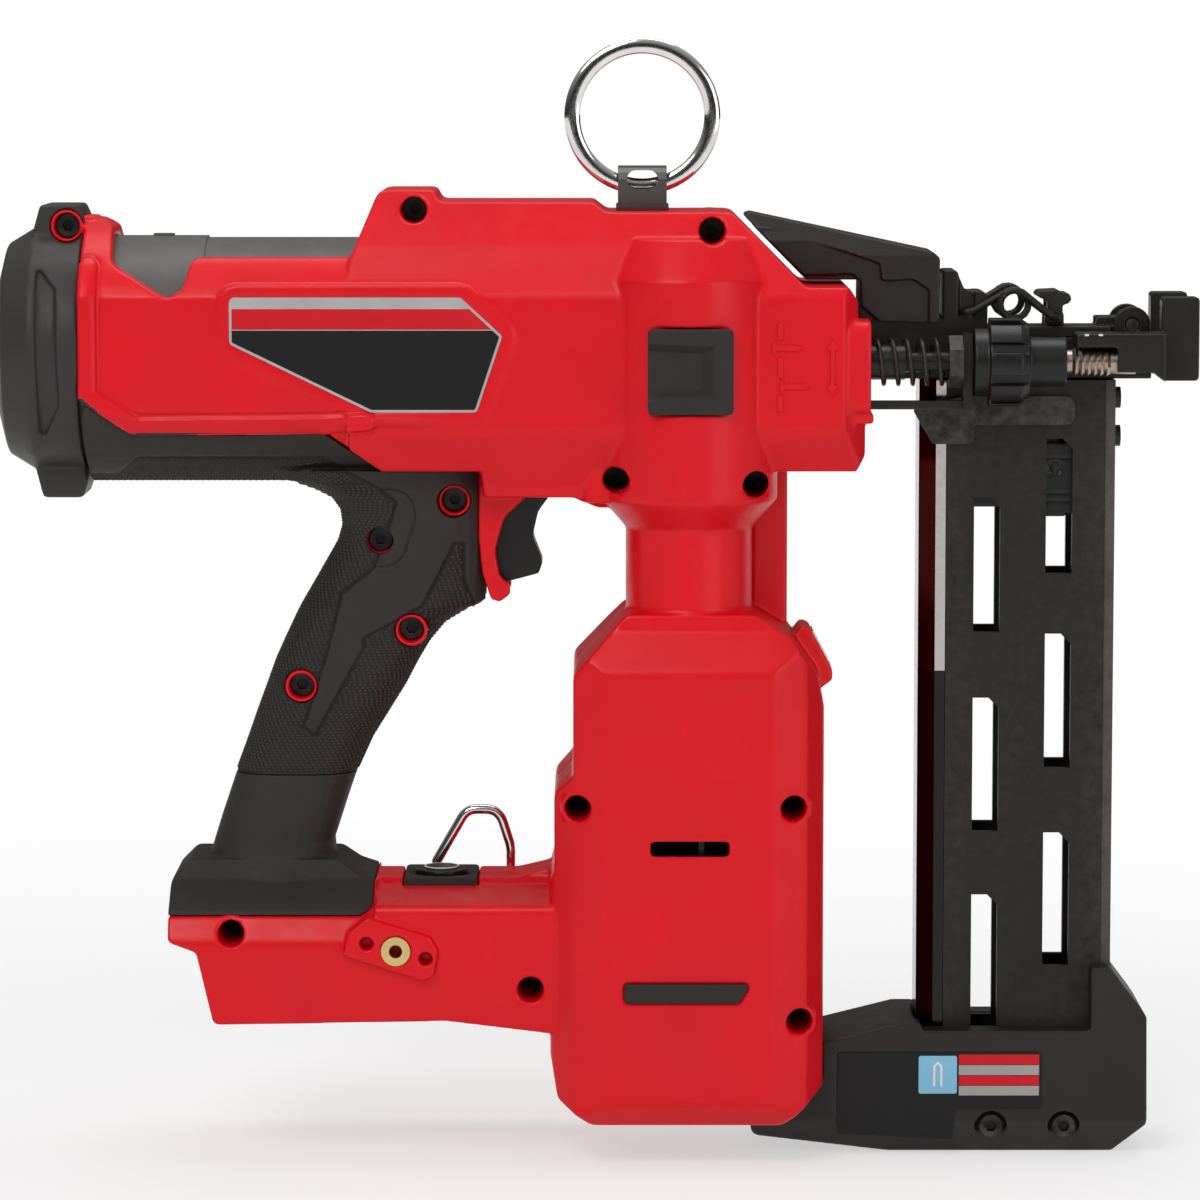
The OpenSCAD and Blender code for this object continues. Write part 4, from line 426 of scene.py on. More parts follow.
def paint(obj, *materials):
    obj.data.materials.clear()
    for m in materials:
        obj.data.materials.append(m)


def settled(obj):
    """Works the object's modifiers into its mesh."""
    graph = bpy.context.evaluated_depsgraph_get()
    mesh = bpy.data.meshes.new_from_object(obj.evaluated_get(graph))
    old = obj.data
    obj.modifiers.clear()
    obj.data = mesh
    bpy.data.meshes.remove(old)


def smoothed(obj):
    for polygon in obj.data.polygons:
        polygon.use_smooth = True


def stands_for(obj, names, *materials):
    """Paints a piece that rides in the place of a node, or of several of one body."""
    names = [names] if isinstance(names, str) else names
    paint(obj, *materials)
    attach(obj, nodes[names[0]]["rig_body"])
    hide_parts(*names)
    return obj


def closed_shell(names, seams):
    """One mesh of several nodes. A seam, (axis, place, step) in mm, is pushed shut."""
    form = bmesh.new()
    for name in names:
        form.from_mesh(nodes[name].data)
    for v in form.verts:
        for axis, place, step in seams:
            if abs(v.co[axis] / MM - place) < SEAM_NEAR:
                v.co[axis] += step * MM
    mesh = bpy.data.meshes.new("shell")
    form.to_mesh(mesh)
    form.free()
    return mesh


def carve(mesh, height):
    """Moves the skin along its normals by height(points, normals), in millimetres."""
    count = len(mesh.vertices)
    place = np.empty(count * 3, np.float32)
    facing = np.empty(count * 3, np.float32)
    mesh.vertices.foreach_get("co", place)
    mesh.vertices.foreach_get("normal", facing)
    place = place.reshape(-1, 3)
    facing = facing.reshape(-1, 3)
    place += facing * (height(place / MM, facing) * MM)[:, None]
    mesh.vertices.foreach_set("co", place.ravel())
    mesh.update()


def softened(node, voxel_mm, rounds, triangles, material,
             relief=None, keep=None, name=None, shell=None):
    """A piece of the node's own form with its edges rounded as moulded parts are."""
    names = [node] if isinstance(node, str) else node
    made = linked(name or names[0] + "_form", shell or nodes[names[0]].data.copy())
    if keep:
        form = bmesh.new()
        form.from_mesh(made.data)
        lost = [v for v in form.verts if not keep(v.co / MM)]
        bmesh.ops.delete(form, geom=lost, context="VERTS")
        form.to_mesh(made.data)
        form.free()
    remesh = made.modifiers.new("grid", "REMESH")
    remesh.mode = "VOXEL"
    remesh.voxel_size = voxel_mm * MM
    smooth = made.modifiers.new("round", "SMOOTH")
    smooth.iterations = rounds
    smooth.factor = 0.5
    settled(made)
    if relief:
        carve(made.data, relief)
    dense = len(made.data.polygons) * 2
    if dense > triangles:
        thin = made.modifiers.new("thin", "DECIMATE")
        thin.ratio = triangles / dense
        settled(made)
    smoothed(made)
    return stands_for(made, names, material)


def break_edges(obj, width_mm, angle):
    edge = obj.modifiers.new("edge", "BEVEL")
    edge.width = width_mm * MM
    edge.segments = BEVEL_SEGMENTS
    edge.limit_method = "ANGLE"
    edge.angle_limit = angle


def outward(points, normals, low=0.15, high=0.5):
    """How far each point of the skin faces the nearer side of the tool, from 0 to 1."""
    facing = normals[:, 1] * np.sign(points[:, 1])
    return np.clip((facing - low) / (high - low), 0.0, 1.0)


# Pieces drawn from points


def piece(name, verts, faces, body):
    """A mesh from points in millimetres, on a body, with its faces turned outwards."""
    mesh = bpy.data.meshes.new(name)
    mesh.from_pydata([tuple(c * MM for c in v) for v in verts], [], faces)
    form = bmesh.new()
    form.from_mesh(mesh)
    bmesh.ops.recalc_face_normals(form, faces=form.faces)
    form.to_mesh(mesh)
    form.free()
    made = linked(name, mesh)
    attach(made, body)
    return made


def slab(name, rings, y0, y1, body, material, edge_mm=0.0):
    """Flat forms drawn in the side view, from y0 to y1."""
    verts, faces = [], []
    for ring in rings:
        n, k = len(ring), len(verts)
        verts += [(x, y0, z) for x, z in ring] + [(x, y1, z) for x, z in ring]
        faces += [list(range(k, k + n)), list(range(k + 2 * n - 1, k + n - 1, -1))]
        for i in range(n):
            j = (i + 1) % n
            faces.append((k + i, k + n + i, k + n + j, k + j))
    made = piece(name, verts, faces, body)
    if edge_mm:
        break_edges(made, edge_mm, SLAB_BEVEL_ANGLE)
        settled(made)
    paint(made, material)
    return made


def tube(name, path, radius, around, body):
    """A round wire along points, with domed ends."""
    path = [Vector(p) for p in path]
    verts, faces = [], []
    normal = None
    last = len(path) - 1
    for i, p in enumerate(path):
        ahead = (path[min(i + 1, last)] - path[max(i - 1, 0)]).normalized()
        normal = normal or ahead.orthogonal()
        normal = (normal - ahead * ahead.dot(normal)).normalized()
        side = ahead.cross(normal)
        r = radius * (WIRE_END if i in (0, last) else 1.0)
        for k in range(around):
            a = FULL_TURN * k / around
            verts.append(p + (normal * math.cos(a) + side * math.sin(a)) * r)
    for i in range(last):
        here, after = i * around, (i + 1) * around
        for k in range(around):
            j = (k + 1) % around
            faces.append((here + k, here + j, after + j, after + k))
    faces.append(list(range(around)))
    faces.append(list(range(last * around, (last + 1) * around)))
    made = piece(name, verts, faces, body)
    smoothed(made)
    return made


def revolved(name, profile, centre, steps, body):
    """A closed profile of (radius, y) turned about an axis along Y."""
    n = len(profile)
    cx, cy, cz = centre
    verts, faces = [], []
    for i in range(steps):
        a = FULL_TURN * i / steps
        verts += [(cx + r * math.cos(a), cy + y, cz + r * math.sin(a))
                  for r, y in profile]
    for i in range(steps):
        m = (i + 1) % steps
        for k in range(n):
            j = (k + 1) % n
            faces.append((i * n + k, i * n + j, m * n + j, m * n + k))
    made = piece(name, verts, faces, body)
    smoothed(made)
    return made


# Line work of the soft grip: the knurled area, its border grooves and a hairline
# round one screw. Depths and widths are in millimetres.

KNURLED = [
    (-120.0, 64.6), (-120.0, 160.5), (-64.9, 160.5), (-58.6, 165.8), (-1.5, 165.8),
    (16.2, 156.0), (21.9, 151.3), (19.2, 142.5), (17.1, 138.4), (15.9, 133.8),
    (14.4, 130.2), (4.1, 122.2), (-0.1, 104.4), (-7.9, 79.8), (-4.1, 76.6),
    (11.3, 104.4), (11.6, 107.9), (20.8, 112.6), (30.2, 117.9), (40.5, 137.8),
    (43.4, 137.8), (43.4, 127.3), (46.2, 119.3), (60.0, 112.0), (60.0, 64.6)]
KNURL_SUNK = 0.4
GROOVE = KNURLED[2:-2]
# GROOVE_DARK and HAIR_DARK are half widths of the painted shade along the groove and the
# hairline.
GROOVE_DEPTH, GROOVE_WIDTH, GROOVE_DARK = 0.95, 0.55, 0.5
HAIR_LINE = [(17.3, 138.7), (20.1, 147.7)]
HAIR_R, HAIR_DEPTH, HAIR_WIDTH, HAIR_DARK = 8.0, 0.55, 0.34, 0.24
# Screw bosses that the knurl keeps clear of, as (x, z, radius)
BOSSES = [(16.8, 139.0, 4.9), (40.3, 151.7, 6.2), (26.5, 110.5, 6.2), (-8.4, 92.5, 6.2)]


def bell(away, width):
    """One on a line, falling off to both sides of it."""
    return np.exp(-((away / width) ** 2))


def grip_lines(points, normals):
    """The sunk knurl ground, grooves and hairline, as heights of the grip's skin."""
    flat = points[:, [0, 2]]
    groove = GROOVE_DEPTH * bell(reach(flat, GROOVE), GROOVE_WIDTH)
    hairline = HAIR_DEPTH * bell(reach(flat, HAIR_LINE) - HAIR_R, HAIR_WIDTH)
    sunk = KNURL_SUNK * within(flat, KNURLED)
    return -np.maximum(np.maximum(groove, hairline), sunk) * outward(points, normals)


def low_skin_painted_shade(flat):
    """The knurl's ground, the grooves and the hairline, where a darker skin is painted
    shade.
    """
    hair = np.abs(reach(flat, HAIR_LINE) - HAIR_R) < HAIR_DARK
    return within(flat, KNURLED) | (reach(flat, GROOVE) < GROOVE_DARK) | hair


def second_look(obj, material, chosen):
    """Gives a second material to the faces whose middles in the side view are chosen."""
    mesh = obj.data
    mids = np.empty(len(mesh.polygons) * 3, np.float32)
    mesh.polygons.foreach_get("center", mids)
    flat = mids.reshape(-1, 3)[:, [0, 2]] / MM
    mesh.materials.append(material)
    mesh.polygons.foreach_set("material_index", chosen(flat).astype(np.int32))
    mesh.update()


# The shroud round the tank: a raised lip along its back and lower edge, with a fine
# groove beside it, and the grey end of the shell behind the grip's belly

LIP = [(-73.2, 226.0), (-73.2, 186.2), (-58.6, 176.6), (0.5, 177.2), (14.0, 178.2)]
LIP_HALF, LIP_SLOPE, LIP_RISE = 3.0, 0.8, 1.3
LIP_GROOVE_AT, LIP_GROOVE_WIDTH, LIP_GROOVE_DEPTH = 3.5, 0.5, 0.5
LIP_FROM_Y, LIP_TO_X = 24.0, 16.0
BELLY_END = [(-90.0, 140.0), (-90.0, 185.2), (-74.6, 185.2), (-62.0, 174.6),
             (-40.0, 174.6), (-40.0, 140.0)]


def shroud_lip(points, normals):
    """The lip and its groove, as heights of the shell's skin."""
    away = reach(points[:, [0, 2]], LIP)
    near = np.clip((LIP_HALF - away) / LIP_SLOPE, 0.0, 1.0)
    rise = LIP_RISE * near * near * (3.0 - 2.0 * near)
    rise -= LIP_GROOVE_DEPTH * bell(away - LIP_GROOVE_AT, LIP_GROOVE_WIDTH)
    shell = (np.abs(points[:, 1]) > LIP_FROM_Y) & (points[:, 0] < LIP_TO_X)
    return rise * shell * outward(points, normals, low=0.2, high=0.6)


def belly_end(flat):
    return within(flat, BELLY_END)


# The left shell is two nodes of one body. Their seams, as (axis, place, step), are shut.
LEFT = ("housing_left", "handle_left")
LEFT_SEAMS = ((0, 70.425, 0.5), (2, 159.925, 0.5))
right_shell = softened("housing_right", 0.6, 9, 150000, red, shroud_lip)
left_shell = softened(LEFT, 0.6, 9, 130000, red, shroud_lip,
                      shell=closed_shell(LEFT, LEFT_SEAMS))
for shell in (right_shell, left_shell):
    second_look(shell, skin, belly_end)

softened("rear_cap", 0.6, 7, 50000, cap_grey)
grips = [softened(name, 0.4, 5, 130000, skin, grip_lines)
         for name in ("grip_right", "grip_left")]
# Painted shade: the sunk knurl ground, grooves and hairline get the darker skin.
for grip in grips:
    second_look(grip, skin_painted_shade, low_skin_painted_shade)

# Node, voxel in millimetres, smoothing rounds, most triangles and material
for row in (
        ("foot_boot", 0.45, 6, 50000, skin),
        ("nose_cover", 0.4, 5, 50000, black),
        ("magazine_foot", 0.5, 7, 50000, black),
        ("button_bezel", 0.35, 6, 16000, skin),
        ("mode_button", 0.3, 5, 12000, deep_black),
        ("trigger", 0.4, 8, 16000, deep_black),
        ("depth_wheel", 0.35, 4, 40000, deep_black),
        ("nose_frame", 0.4, 3, 60000, oxide),
        ("contact_foot", 0.4, 4, 40000, oxide),
        ("nose_door", 0.35, 3, 40000, oxide),
        ("latch_lever", 0.3, 4, 16000, black),
        ("pusher", 0.4, 4, 16000, deep_black),
        ("latch_wire", 0.22, 3, 24000, oxide)):
    softened(*row)

# Nodes shown as they are, with small broken edges: name, width in millimetres, material
for name, width, look in (
        ("gas_tank", 0.5, tank_paint), ("drive_cylinder", 0.3, cast),
        ("bumper", 0.4, rubber_black), ("piston", 0.2, cast),
        ("piston_seals", 0.2, rubber_black), ("driver_blade", 0.2, steel),
        ("lifter_frame", 0.5, cast), ("lifter_wheel", 0.3, steel),
        ("output_carrier", 0.3, steel), ("planet_1", 0.06, steel),
        ("planet_2", 0.06, steel), ("planet_3", 0.06, steel), ("sun_gear", 0.06, steel),
        ("ring_gear", 0.06, steel), ("bearings", 0.2, bright), ("stator", 0.3, copper),
        ("rotor", 0.3, steel), ("fan", 0.3, deep_black), ("hinge_pins", 0.2, oxide),
        ("switches", 0.3, deep_black), ("control_unit", 0.2, deep_black),
        ("work_light_lens", 0.3, lens), ("belt_hook_inserts", 0.25, brass),
        ("lanyard_bracket", 0.3, dull_steel), ("screws", 0.25, screw_black),
        ("depth_screw", 0.05, plated), ("trip_link", 0.3, oxide),
        ("depth_nut", 0.4, oxide), ("trip_guide", 0.4, deep_black),
        ("magazine_plate_right", 0.3, coat_black),
        ("magazine_plate_left", 0.3, coat_black), ("magazine_rail", 0.4, rail_painted_reflection),
        ("magazine_spine", 0.4, spine_painted_reflection), ("magazine_strip", 0.3, strip_coat),
        ("pusher_spring", 0.2, steel), ("side_bracket", 0.3, oxide)):
    break_edges(nodes[name], width, NODE_BEVEL_ANGLE)
    paint(nodes[name], look)

SHELL = nodes["housing_right"]["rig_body"]
DRIVE_Z = 199.0


# Knurl: small low scales set in rows round the handle and under the tank

ROW_STEP, SCALE_PITCH = 0.95, 1.7
HANDLE_LOW, HANDLE_TOP = 65.4, 157.6
# The middle of the handle: heights and the x at each
HANDLE_MID = ([64, 92, 112, 124, 140, 158], [-10.6, 2.1, 12.8, 20.0, 26.0, 20.0])
HANDLE_RAY, HANDLE_RAYS = 95.0, 360
BELLY_X, BELLY_LONG, BELLY_RAY = -74.0, 90.0, 60.0
BELLY_FAN = [math.radians(0.75 * k - 42.0) for k in range(113)]
RUN_BREAK, RUN_LEAST = 2.5, 4
GROOVE_CLEAR, MIDDLE_CLEAR = 0.75, 0.7
SCALE_LONG, SCALE_WIDE, SCALE_HIGH, SCALE_ROOT, SCALE_LEAN = 0.78, 0.8, 0.42, 0.1, 0.1


def evenly(line, pitch, start):
    """Places at even steps along a line of points."""
    line = np.array(line)
    steps = np.linalg.norm(np.diff(line, axis=0), axis=1)
    run = np.concatenate([[0.0], np.cumsum(steps)])
    at = np.arange(start, run[-1], pitch)
    return np.stack([np.interp(at, run, line[:, i]) for i in range(3)], axis=1)


def cast_row(trees, starts, end):
    """Where lines from outside first meet the grips, as runs of points without a break."""
    runs, run = [], []
    end = Vector(end) * MM
    for start in starts:
        start = Vector(start) * MM
        hits = [t.ray_cast(start, (end - start).normalized()) for t in trees]
        hits = [h for h in hits if h[0] is not None]
        if hits:
            point = min(hits, key=lambda h: h[3])[0] / MM
            if run and (point - run[-1]).length > RUN_BREAK:
                runs.append(run)
                run = []
            run.append(point)
        elif run:
            runs.append(run)
            run = []
    runs.append(run)
    return [r for r in runs if len(r) >= RUN_LEAST]


def knurl_rows(trees):
    """Rows of points round the handle and across the belly, each with its number."""
    rows = []
    turn = [FULL_TURN * k / HANDLE_RAYS for k in range(HANDLE_RAYS + 1)]
    for i in range(int((HANDLE_TOP - HANDLE_LOW) / ROW_STEP)):
        z = HANDLE_LOW + ROW_STEP * i
        mid = float(np.interp(z, *HANDLE_MID))
        starts = [(mid + HANDLE_RAY * math.cos(a), HANDLE_RAY * math.sin(a), z)
                  for a in turn]
        rows += [(i, run) for run in cast_row(trees, starts, (mid, 0.0, z))]
    for i in range(int(BELLY_LONG / ROW_STEP)):
        x = BELLY_X + ROW_STEP * i
        starts = [(x, BELLY_RAY * math.sin(a), DRIVE_Z - BELLY_RAY * math.cos(a))
                  for a in BELLY_FAN]
        for run in cast_row(trees, starts, (x, 0.0, DRIVE_Z)):
            rows.append((i, [p for p in run if p.z > HANDLE_TOP]))
    return [(i, run) for i, run in rows if len(run) >= RUN_LEAST]


def knurl_scales():
    """Four sided scales on every row, set half a pitch over on every other row."""
    graph = bpy.context.evaluated_depsgraph_get()
    trees = [BVHTree.FromObject(g, graph) for g in grips]
    spots, ahead = [], []
    for i, run in knurl_rows(trees):
        at = evenly(run, SCALE_PITCH, SCALE_PITCH * (0.25 if i % 2 else 0.75))
        if len(at) > 1:
            spots.append(at)
            ahead.append(np.gradient(at, axis=0))
    spots, ahead = np.concatenate(spots), np.concatenate(ahead)
    flat = spots[:, [0, 2]]
    good = within(flat, KNURLED) & (reach(flat, GROOVE) > GROOVE_CLEAR)
    good &= np.abs(spots[:, 1]) > MIDDLE_CLEAR
    for x, z, r in BOSSES:
        good &= np.hypot(flat[:, 0] - x, flat[:, 1] - z) > r
    verts, faces = [], []
    for spot, d in zip(spots[good], ahead[good]):
        spot = Vector(spot) * MM
        near = min((t.find_nearest(spot) for t in trees), key=lambda h: h[3])
        p, up = near[0] / MM, near[1].normalized()
        d = Vector(d)
        d = (d - up * up.dot(d)).normalized()
        across = up.cross(d)
        k = len(verts)
        root = p - up * SCALE_ROOT
        verts += [root + d * SCALE_LONG, root + across * SCALE_WIDE,
                  root - d * SCALE_LONG, root - across * SCALE_WIDE,
                  p - across * SCALE_LEAN + up * SCALE_HIGH]
        faces += [(k, k + 1, k + 4), (k + 1, k + 2, k + 4), (k + 2, k + 3, k + 4),
                  (k + 3, k, k + 4), (k + 3, k + 2, k + 1, k)]
    made = piece("grip_knurl", verts, faces, SHELL)
    paint(made, knurl)


knurl_scales()


# Plates, pads and marks

LABEL = rounded([(-29, 217, 2), (43, 217, 2), (56, 205, 1.5), (48, 181.2, 1.5),
                 (15, 181.2, 1.5), (-29, 202.5, 1.5)])
LABEL_Y, LABEL_THICK, LABEL_BORDER = -38.8, 0.45, 0.8
BAND_TOP, BAND_LOW, FIELD_TOP = 213.4, 207.0, 206.7
UP, DOWN = (0, 1), (0, -1)
PLATE_Y = -21.95
STRIPE_X = (200.8, 226.4)
LOW_Z = 100.0


def printed(name, rings, look, face_y, proud, root=0.1):
    """Plain colour on the face of a plate of the right side."""
    slab(name, rings, face_y - proud, face_y + root, SHELL, look)


def low_part(place):
    return place.z < LOW_Z


backing = slab("label_backing", [LABEL], LABEL_Y, LABEL_Y + LABEL_THICK, SHELL, silver_film)
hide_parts("blank_plates")
field = shrunk(LABEL, LABEL_BORDER)
band = clip(clip(field, (0, BAND_TOP), DOWN), (0, BAND_LOW), UP)
printed("label_band", [band], red_film, LABEL_Y, proud=0.06)
lower = clip(field, (0, FIELD_TOP), DOWN)
printed("label_field", [lower], dark_film, LABEL_Y, proud=0.06)
softened("blank_plates", 0.15, 1, 8000, dark_film, keep=low_part, name="foot_plate")

# Plain coloured blocks with a staple outline stand where the foot's plate is printed
BLUE = rounded([(x, z, 0.8) for x, z in block(188.0, 200.2, -37.6, -25.4)])
STAPLE = [(192.6, -35.2), (193.3, -35.2), (193.3, -29.0), (194.1, -28.1), (194.9, -29.0),
          (194.9, -35.2), (195.6, -35.2), (195.6, -28.7), (194.1, -27.2), (192.6, -28.7)]
for name, look, blocks in (
        ("plate_red", red_film,
         [block(*STRIPE_X, -28.2, -25.0), block(*STRIPE_X, -34.9, -31.8)]),
        ("plate_grey", grey_film,
         [block(*STRIPE_X, -31.6, -28.4), block(*STRIPE_X, -38.2, -35.1)]),
        ("plate_blue", blue_film, [BLUE])):
    printed(name, blocks, look, PLATE_Y, proud=0.05)
printed("plate_staple", [STAPLE], white_ink, PLATE_Y, proud=0.1, root=0.0)


def ring_mark(name, node, outer, inner, steps=48, sunk=0.25, proud=0.03):
    """A thin white ring printed on the top of a round node."""
    spots = np.array([tuple(v.co) for v in nodes[node].data.vertices]) / MM
    x, y = (spots[:, :2].min(axis=0) + spots[:, :2].max(axis=0)) / 2.0
    top = spots[:, 2].max()
    turn = [FULL_TURN * k / steps for k in range(steps)]
    verts, faces = [], []
    for z in (top - sunk, top + proud):
        for r in (inner, outer):
            verts += [(x + r * math.cos(a), y + r * math.sin(a), z) for a in turn]
    for k in range(steps):
        j = (k + 1) % steps
        a, b, c, d = (k + steps * m for m in range(4))
        e, f, g, h = (j + steps * m for m in range(4))
        faces += [(a, e, f, b), (c, d, h, g), (a, c, g, e), (b, f, h, d)]
    paint(piece(name, verts, faces, nodes[node]["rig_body"]), white_ink)


ring_mark("button_ring", "mode_button", outer=5.65, inner=5.05)

DASH_X = (229.0, 233.5, 237.9, 242.3)
DASH_LONG, DASH_LOW, DASH_TOP, DASH_PROUD, DASH_ROOT = 1.3, 204.6, 205.2, 0.06, 0.2
DASH_EYE = (0.6, -80.0, 204.9)


def scale_marks():
    """White dashes along the top edge of the contact foot's arm."""
    node = nodes["contact_foot"]
    corners = [v.co for v in node.data.vertices]
    tree = BVHTree.FromPolygons(corners, [tuple(p.vertices) for p in node.data.polygons])
    rings, face = [], []
    for x in DASH_X:
        eye = Vector((x + DASH_EYE[0],) + DASH_EYE[1:]) * MM
        hit = tree.ray_cast(eye, Vector((0.0, 1.0, 0.0)))[0]
        if hit is not None:
            face.append(hit.y / MM)
            rings.append(block(x, x + DASH_LONG, DASH_LOW, DASH_TOP))
    if rings:
        slab("scale_marks", rings, min(face) - DASH_PROUD, max(face) + DASH_ROOT,
             node["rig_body"], white_ink)


scale_marks()

# A raised sign for the driving depth: two fasteners in a broken line, and an arrow
MARKS = [
    [(141.7, 209.0), (143.3, 209.0), (143.3, 203.9), (141.7, 203.9)],
    [(141.8, 198.3), (143.3, 198.3), (143.3, 192.0), (141.8, 192.0)],
    [(141.8, 186.4), (143.4, 186.4), (143.4, 181.5), (141.8, 181.5)],
    [(140.1, 203.2), (141.1, 203.2), (141.1, 202.1), (148.1, 202.1), (149.4, 201.3),
     (148.1, 200.4), (141.1, 200.4), (141.1, 199.5), (140.1, 199.5)],
    [(142.6, 191.1), (143.5, 191.1), (143.5, 190.0), (150.4, 190.0), (151.8, 189.2),
     (150.5, 188.4), (143.5, 188.4), (143.5, 187.3), (142.6, 187.3)],
    [(158.8, 203.7), (160.7, 200.6), (159.4, 200.6), (159.4, 189.6), (160.8, 189.6),
     (158.8, 186.6), (156.9, 189.6), (158.2, 189.6), (158.2, 200.6), (156.8, 200.6)]]
MARKS_Y, MARKS_ROOT_Y, MARKS_EDGE = -38.9, -37.5, 0.2
marks = slab("depth_marks", MARKS, MARKS_Y, MARKS_ROOT_Y, SHELL, red, MARKS_EDGE)

PAD_X, PAD_Z, PAD_HALF, PAD_CORNER, PAD_EDGE = 114.5, 194.3, 13.3, 1.6, 0.6
SCOOP_MOUTH = [(-16.0, 9.4), (8.0, 8.2), (8.0, -7.8), (-16.0, -10.4)]
SCOOP_BED = [(-16.0, 6.8), (3.6, 5.6), (3.6, -5.4), (-16.0, -7.2)]
SCOOP_OVER = 0.4


def side_pad(name, face_y, back_y, deep):
    """A soft square pad with a scoop that runs out at its back edge."""
    out = math.copysign(1.0, face_y)
    square = [(PAD_X + a * PAD_HALF, PAD_Z + b * PAD_HALF, PAD_CORNER)
              for a, b in ((-1, -1), (-1, 1), (1, 1), (1, -1))]
    made = slab(name, [rounded(square)], min(face_y, back_y), max(face_y, back_y), SHELL,
                pad_rubber, PAD_EDGE)
    verts = [(PAD_X + x, face_y + out * SCOOP_OVER, PAD_Z + z) for x, z in SCOOP_MOUTH]
    verts += [(PAD_X + x, face_y - out * deep, PAD_Z + z) for x, z in SCOOP_BED]
    faces = [(0, 1, 2, 3), (7, 6, 5, 4)]
    faces += [(i, i + 4, (i + 1) % 4 + 4, (i + 1) % 4) for i in range(4)]
    cutter = piece(name + "_cutter", verts, faces, SHELL)
    cut = made.modifiers.new("scoop", "BOOLEAN")
    cut.operation = "DIFFERENCE"
    cut.solver = "EXACT"
    cut.object = cutter
    settled(made)
    bpy.data.objects.remove(cutter)
    stands_for(made, "side_pads", pad_rubber)


side_pad("pad_right", face_y=-48.73, back_y=-44.68, deep=2.6)
side_pad("pad_left", face_y=39.2, back_y=36.55, deep=1.6)
softened("side_pads", 0.35, 4, 12000, pad_rubber, keep=low_part, name="strip_pads")


# Wire pieces

# Half of the split ring's section, as (outwards, along), and the ring's own sizes
HALF_COIL = [(2.5, 0.25), (2.5, 1.9), (2.0, 2.5), (0.6, 2.6), (-0.6, 2.6), (-2.0, 2.5),
             (-2.5, 1.9), (-2.5, 0.25), (-2.15, 0.0)]
COIL_NOTCH = (2.15, 0.0)
RING_R, RING_X, RING_LIFT, RING_STEPS = 22.2, 99.8, 51.4, 128
section = HALF_COIL + [(u, -v) for u, v in reversed(HALF_COIL[:-1])] + [COIL_NOTCH]
ring = revolved("split_ring", [(RING_R + u, v) for u, v in section],
                (RING_X, 0.0, DRIVE_Z + RING_LIFT + RING_R), RING_STEPS,
                nodes["lanyard_ring"]["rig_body"])
stands_for(ring, "lanyard_ring", bright)

LOOP = rounded([(33.2, 21.0), (33.2, 31.0, 3), (43.2, 48.2, 5.5), (53.5, 48.2, 6),
                (57.4, 36.0, 12), (57.4, 21.0)], n=10)
LOOP_Y, LOOP_WIRE = 18.0, 1.6
loop = tube("wire_loop", [(x, LOOP_Y, z) for x, z in LOOP], LOOP_WIRE, around=18,
            body=SHELL)
stands_for(loop, "base_loop", bright)

SPRING_X = (172.05, 194.85)
SPRING_Y, SPRING_Z, SPRING_R, SPRING_WIRE = -25.6, 196.2, 7.0, 0.65
CURLS, STEPS = 5, 28
coil_path = []
for i in range(CURLS * STEPS + 1):
    t = i / (CURLS * STEPS)
    turn = FULL_TURN * i / STEPS
    coil_path.append((SPRING_X[0] + (SPRING_X[1] - SPRING_X[0]) * t,
                      SPRING_Y + SPRING_R * math.cos(turn),
                      SPRING_Z + SPRING_R * math.sin(turn)))
spring = tube("trip_coil", coil_path, SPRING_WIRE, around=12,
              body=nodes["trip_spring"]["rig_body"])
stands_for(spring, "trip_spring", oxide)
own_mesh(spring)


# Floor, light and camera

AIM = Vector((86.4, 0.0, 118.4)) * MM
REACH = 1700.0 * MM
PITCH = math.radians(6.0)
PHOTO = 1200.0
FOCAL_PX = 5312.0
SENSOR = 36.0
FLOOR_HALF = 8.0
PAPER = ((0.9, 0.9, 0.9, 1.0), (0.94, 0.94, 0.94, 1.0))
AMBIENT = 0.42
GLOSSY_SHARE, GLOSSY_LEAST = 0.6, 0.02
# Name, place and size in metres, and power in watts
LAMPS = (("key", (-0.5, -1.3, 1.3), (0.9, 0.7), 13.0),
         ("fill", (1.2, -1.2, 0.5), (0.8, 0.9), 5.0),
         ("top", (0.1, 0.2, 1.6), (1.2, 0.8), 9.0))


def floor():
    """Pale paper that keeps the shadow near the tool and runs out to plain white."""
    low = cad_box[0][2]
    mesh = bpy.data.meshes.new("floor")
    corners = block(-FLOOR_HALF, FLOOR_HALF, -FLOOR_HALF, FLOOR_HALF)
    mesh.from_pydata([(x, y, low) for x, y in corners], [], [(0, 1, 2, 3)])
    made = linked("floor", mesh)
    s = Shader("floor_paper")
    s.set("Base Color", s.mix(s.spread(s.noise(3.0), 0.0, 1.0), *PAPER))
    s.set("Roughness", 0.9)
    glow = s.node("ShaderNodeEmission")
    glow.inputs["Color"].default_value = WHITE
    path = s.node("ShaderNodeLightPath").outputs
    seen = s.math("MAXIMUM", path["Is Camera Ray"], path["Is Glossy Ray"])
    seen = s.math("MAXIMUM", seen, path["Is Transmission Ray"])
    away = s.node("ShaderNodeVectorMath", operation="LENGTH")
    s.link(s.place, away.inputs[0])
    whole = s.spread(away.outputs["Value"], low=0.55, high=1.0, start=0.25, end=0.75)
    mix = s.node("ShaderNodeMixShader")
    s.link(s.math("MULTIPLY", seen, whole), mix.inputs["Fac"])
    s.link(s.bsdf.outputs["BSDF"], mix.inputs[1])
    s.link(glow.outputs["Emission"], mix.inputs[2])
    s.link(mix.outputs["Shader"], s.tree.nodes["Material Output"].inputs["Surface"])
    paint(made, s.material)


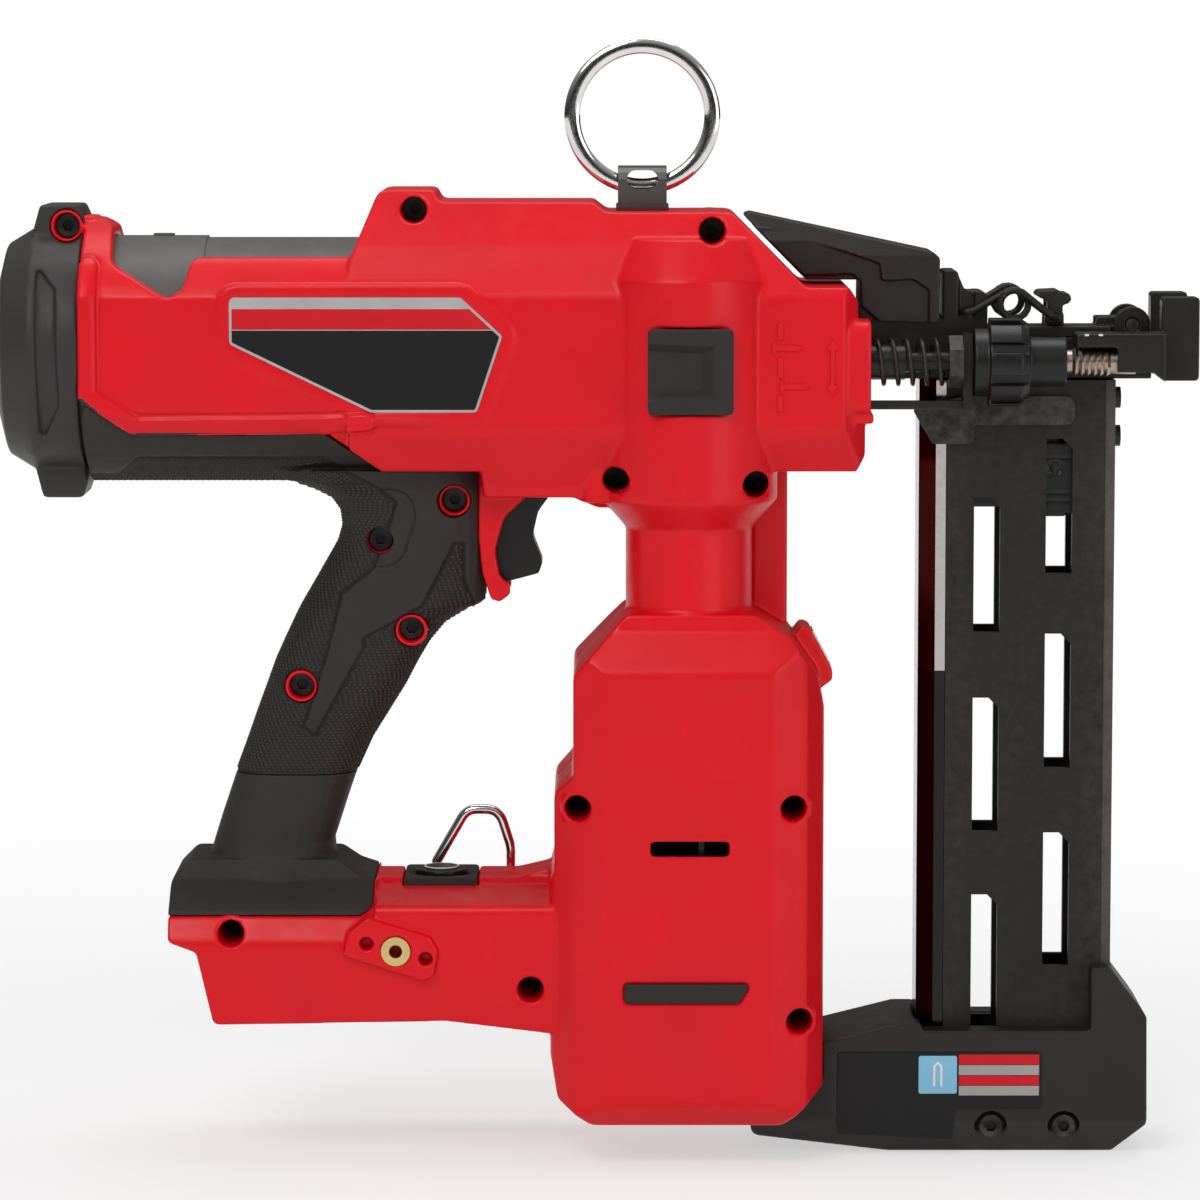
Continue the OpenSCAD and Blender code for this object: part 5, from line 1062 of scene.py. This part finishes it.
def world():
    """Even light all round, white to the camera and through clear surfaces.

    Glossy surfaces see it rise from dark at the horizon to its share overhead.
    """
    made = bpy.data.worlds.new("studio")
    bpy.context.scene.world = made
    made.use_nodes = True
    tree = made.node_tree
    back = tree.nodes["Background"]
    back.inputs["Color"].default_value = WHITE
    path = tree.nodes.new("ShaderNodeLightPath").outputs
    split = tree.nodes.new("ShaderNodeSeparateXYZ")
    place = tree.nodes.new("ShaderNodeTexCoord").outputs["Generated"]
    tree.links.new(place, split.inputs["Vector"])

    def joined(kind, a, b):
        made = tree.nodes.new("ShaderNodeMath")
        made.operation = kind
        for socket, value in zip(made.inputs, (a, b)):
            if isinstance(value, float):
                socket.default_value = value
            else:
                tree.links.new(value, socket)
        return made.outputs["Value"]

    seen = joined("MAXIMUM", path["Is Camera Ray"], path["Is Transmission Ray"])
    rise = joined("MULTIPLY", split.outputs["Z"], GLOSSY_SHARE)
    rise = joined("MAXIMUM", rise, GLOSSY_LEAST)
    seen = joined("MAXIMUM", seen, joined("MULTIPLY", path["Is Glossy Ray"], rise))
    matt = joined("SUBTRACT", 1.0, path["Is Glossy Ray"])
    level = joined("MAXIMUM", seen, joined("MULTIPLY", matt, AMBIENT))
    tree.links.new(level, back.inputs["Strength"])


def aimed(name, data, place):
    """A lamp or camera set at a place and turned to the middle of the tool."""
    made = linked(name, data)
    made.location = place
    made.rotation_euler = (AIM - Vector(place)).to_track_quat("-Z", "Y").to_euler()
    return made


def softbox(name, place, size, power):
    light = bpy.data.lights.new(name, "AREA")
    light.shape = "RECTANGLE"
    light.size, light.size_y = size
    light.energy = power
    aimed(name, light, place)


def camera():
    """The photograph's view: from the right side and a little above."""
    data = bpy.data.cameras.new("camera")
    data.sensor_width = SENSOR
    data.lens = FOCAL_PX / PHOTO * SENSOR
    place = AIM + Vector((0.0, -math.cos(PITCH), math.sin(PITCH))) * REACH
    bpy.context.scene.camera = aimed("camera", data, place)


floor()
world()
for lamp in LAMPS:
    softbox(*lamp)
camera()
bpy.context.scene.view_settings.view_transform = "Standard"
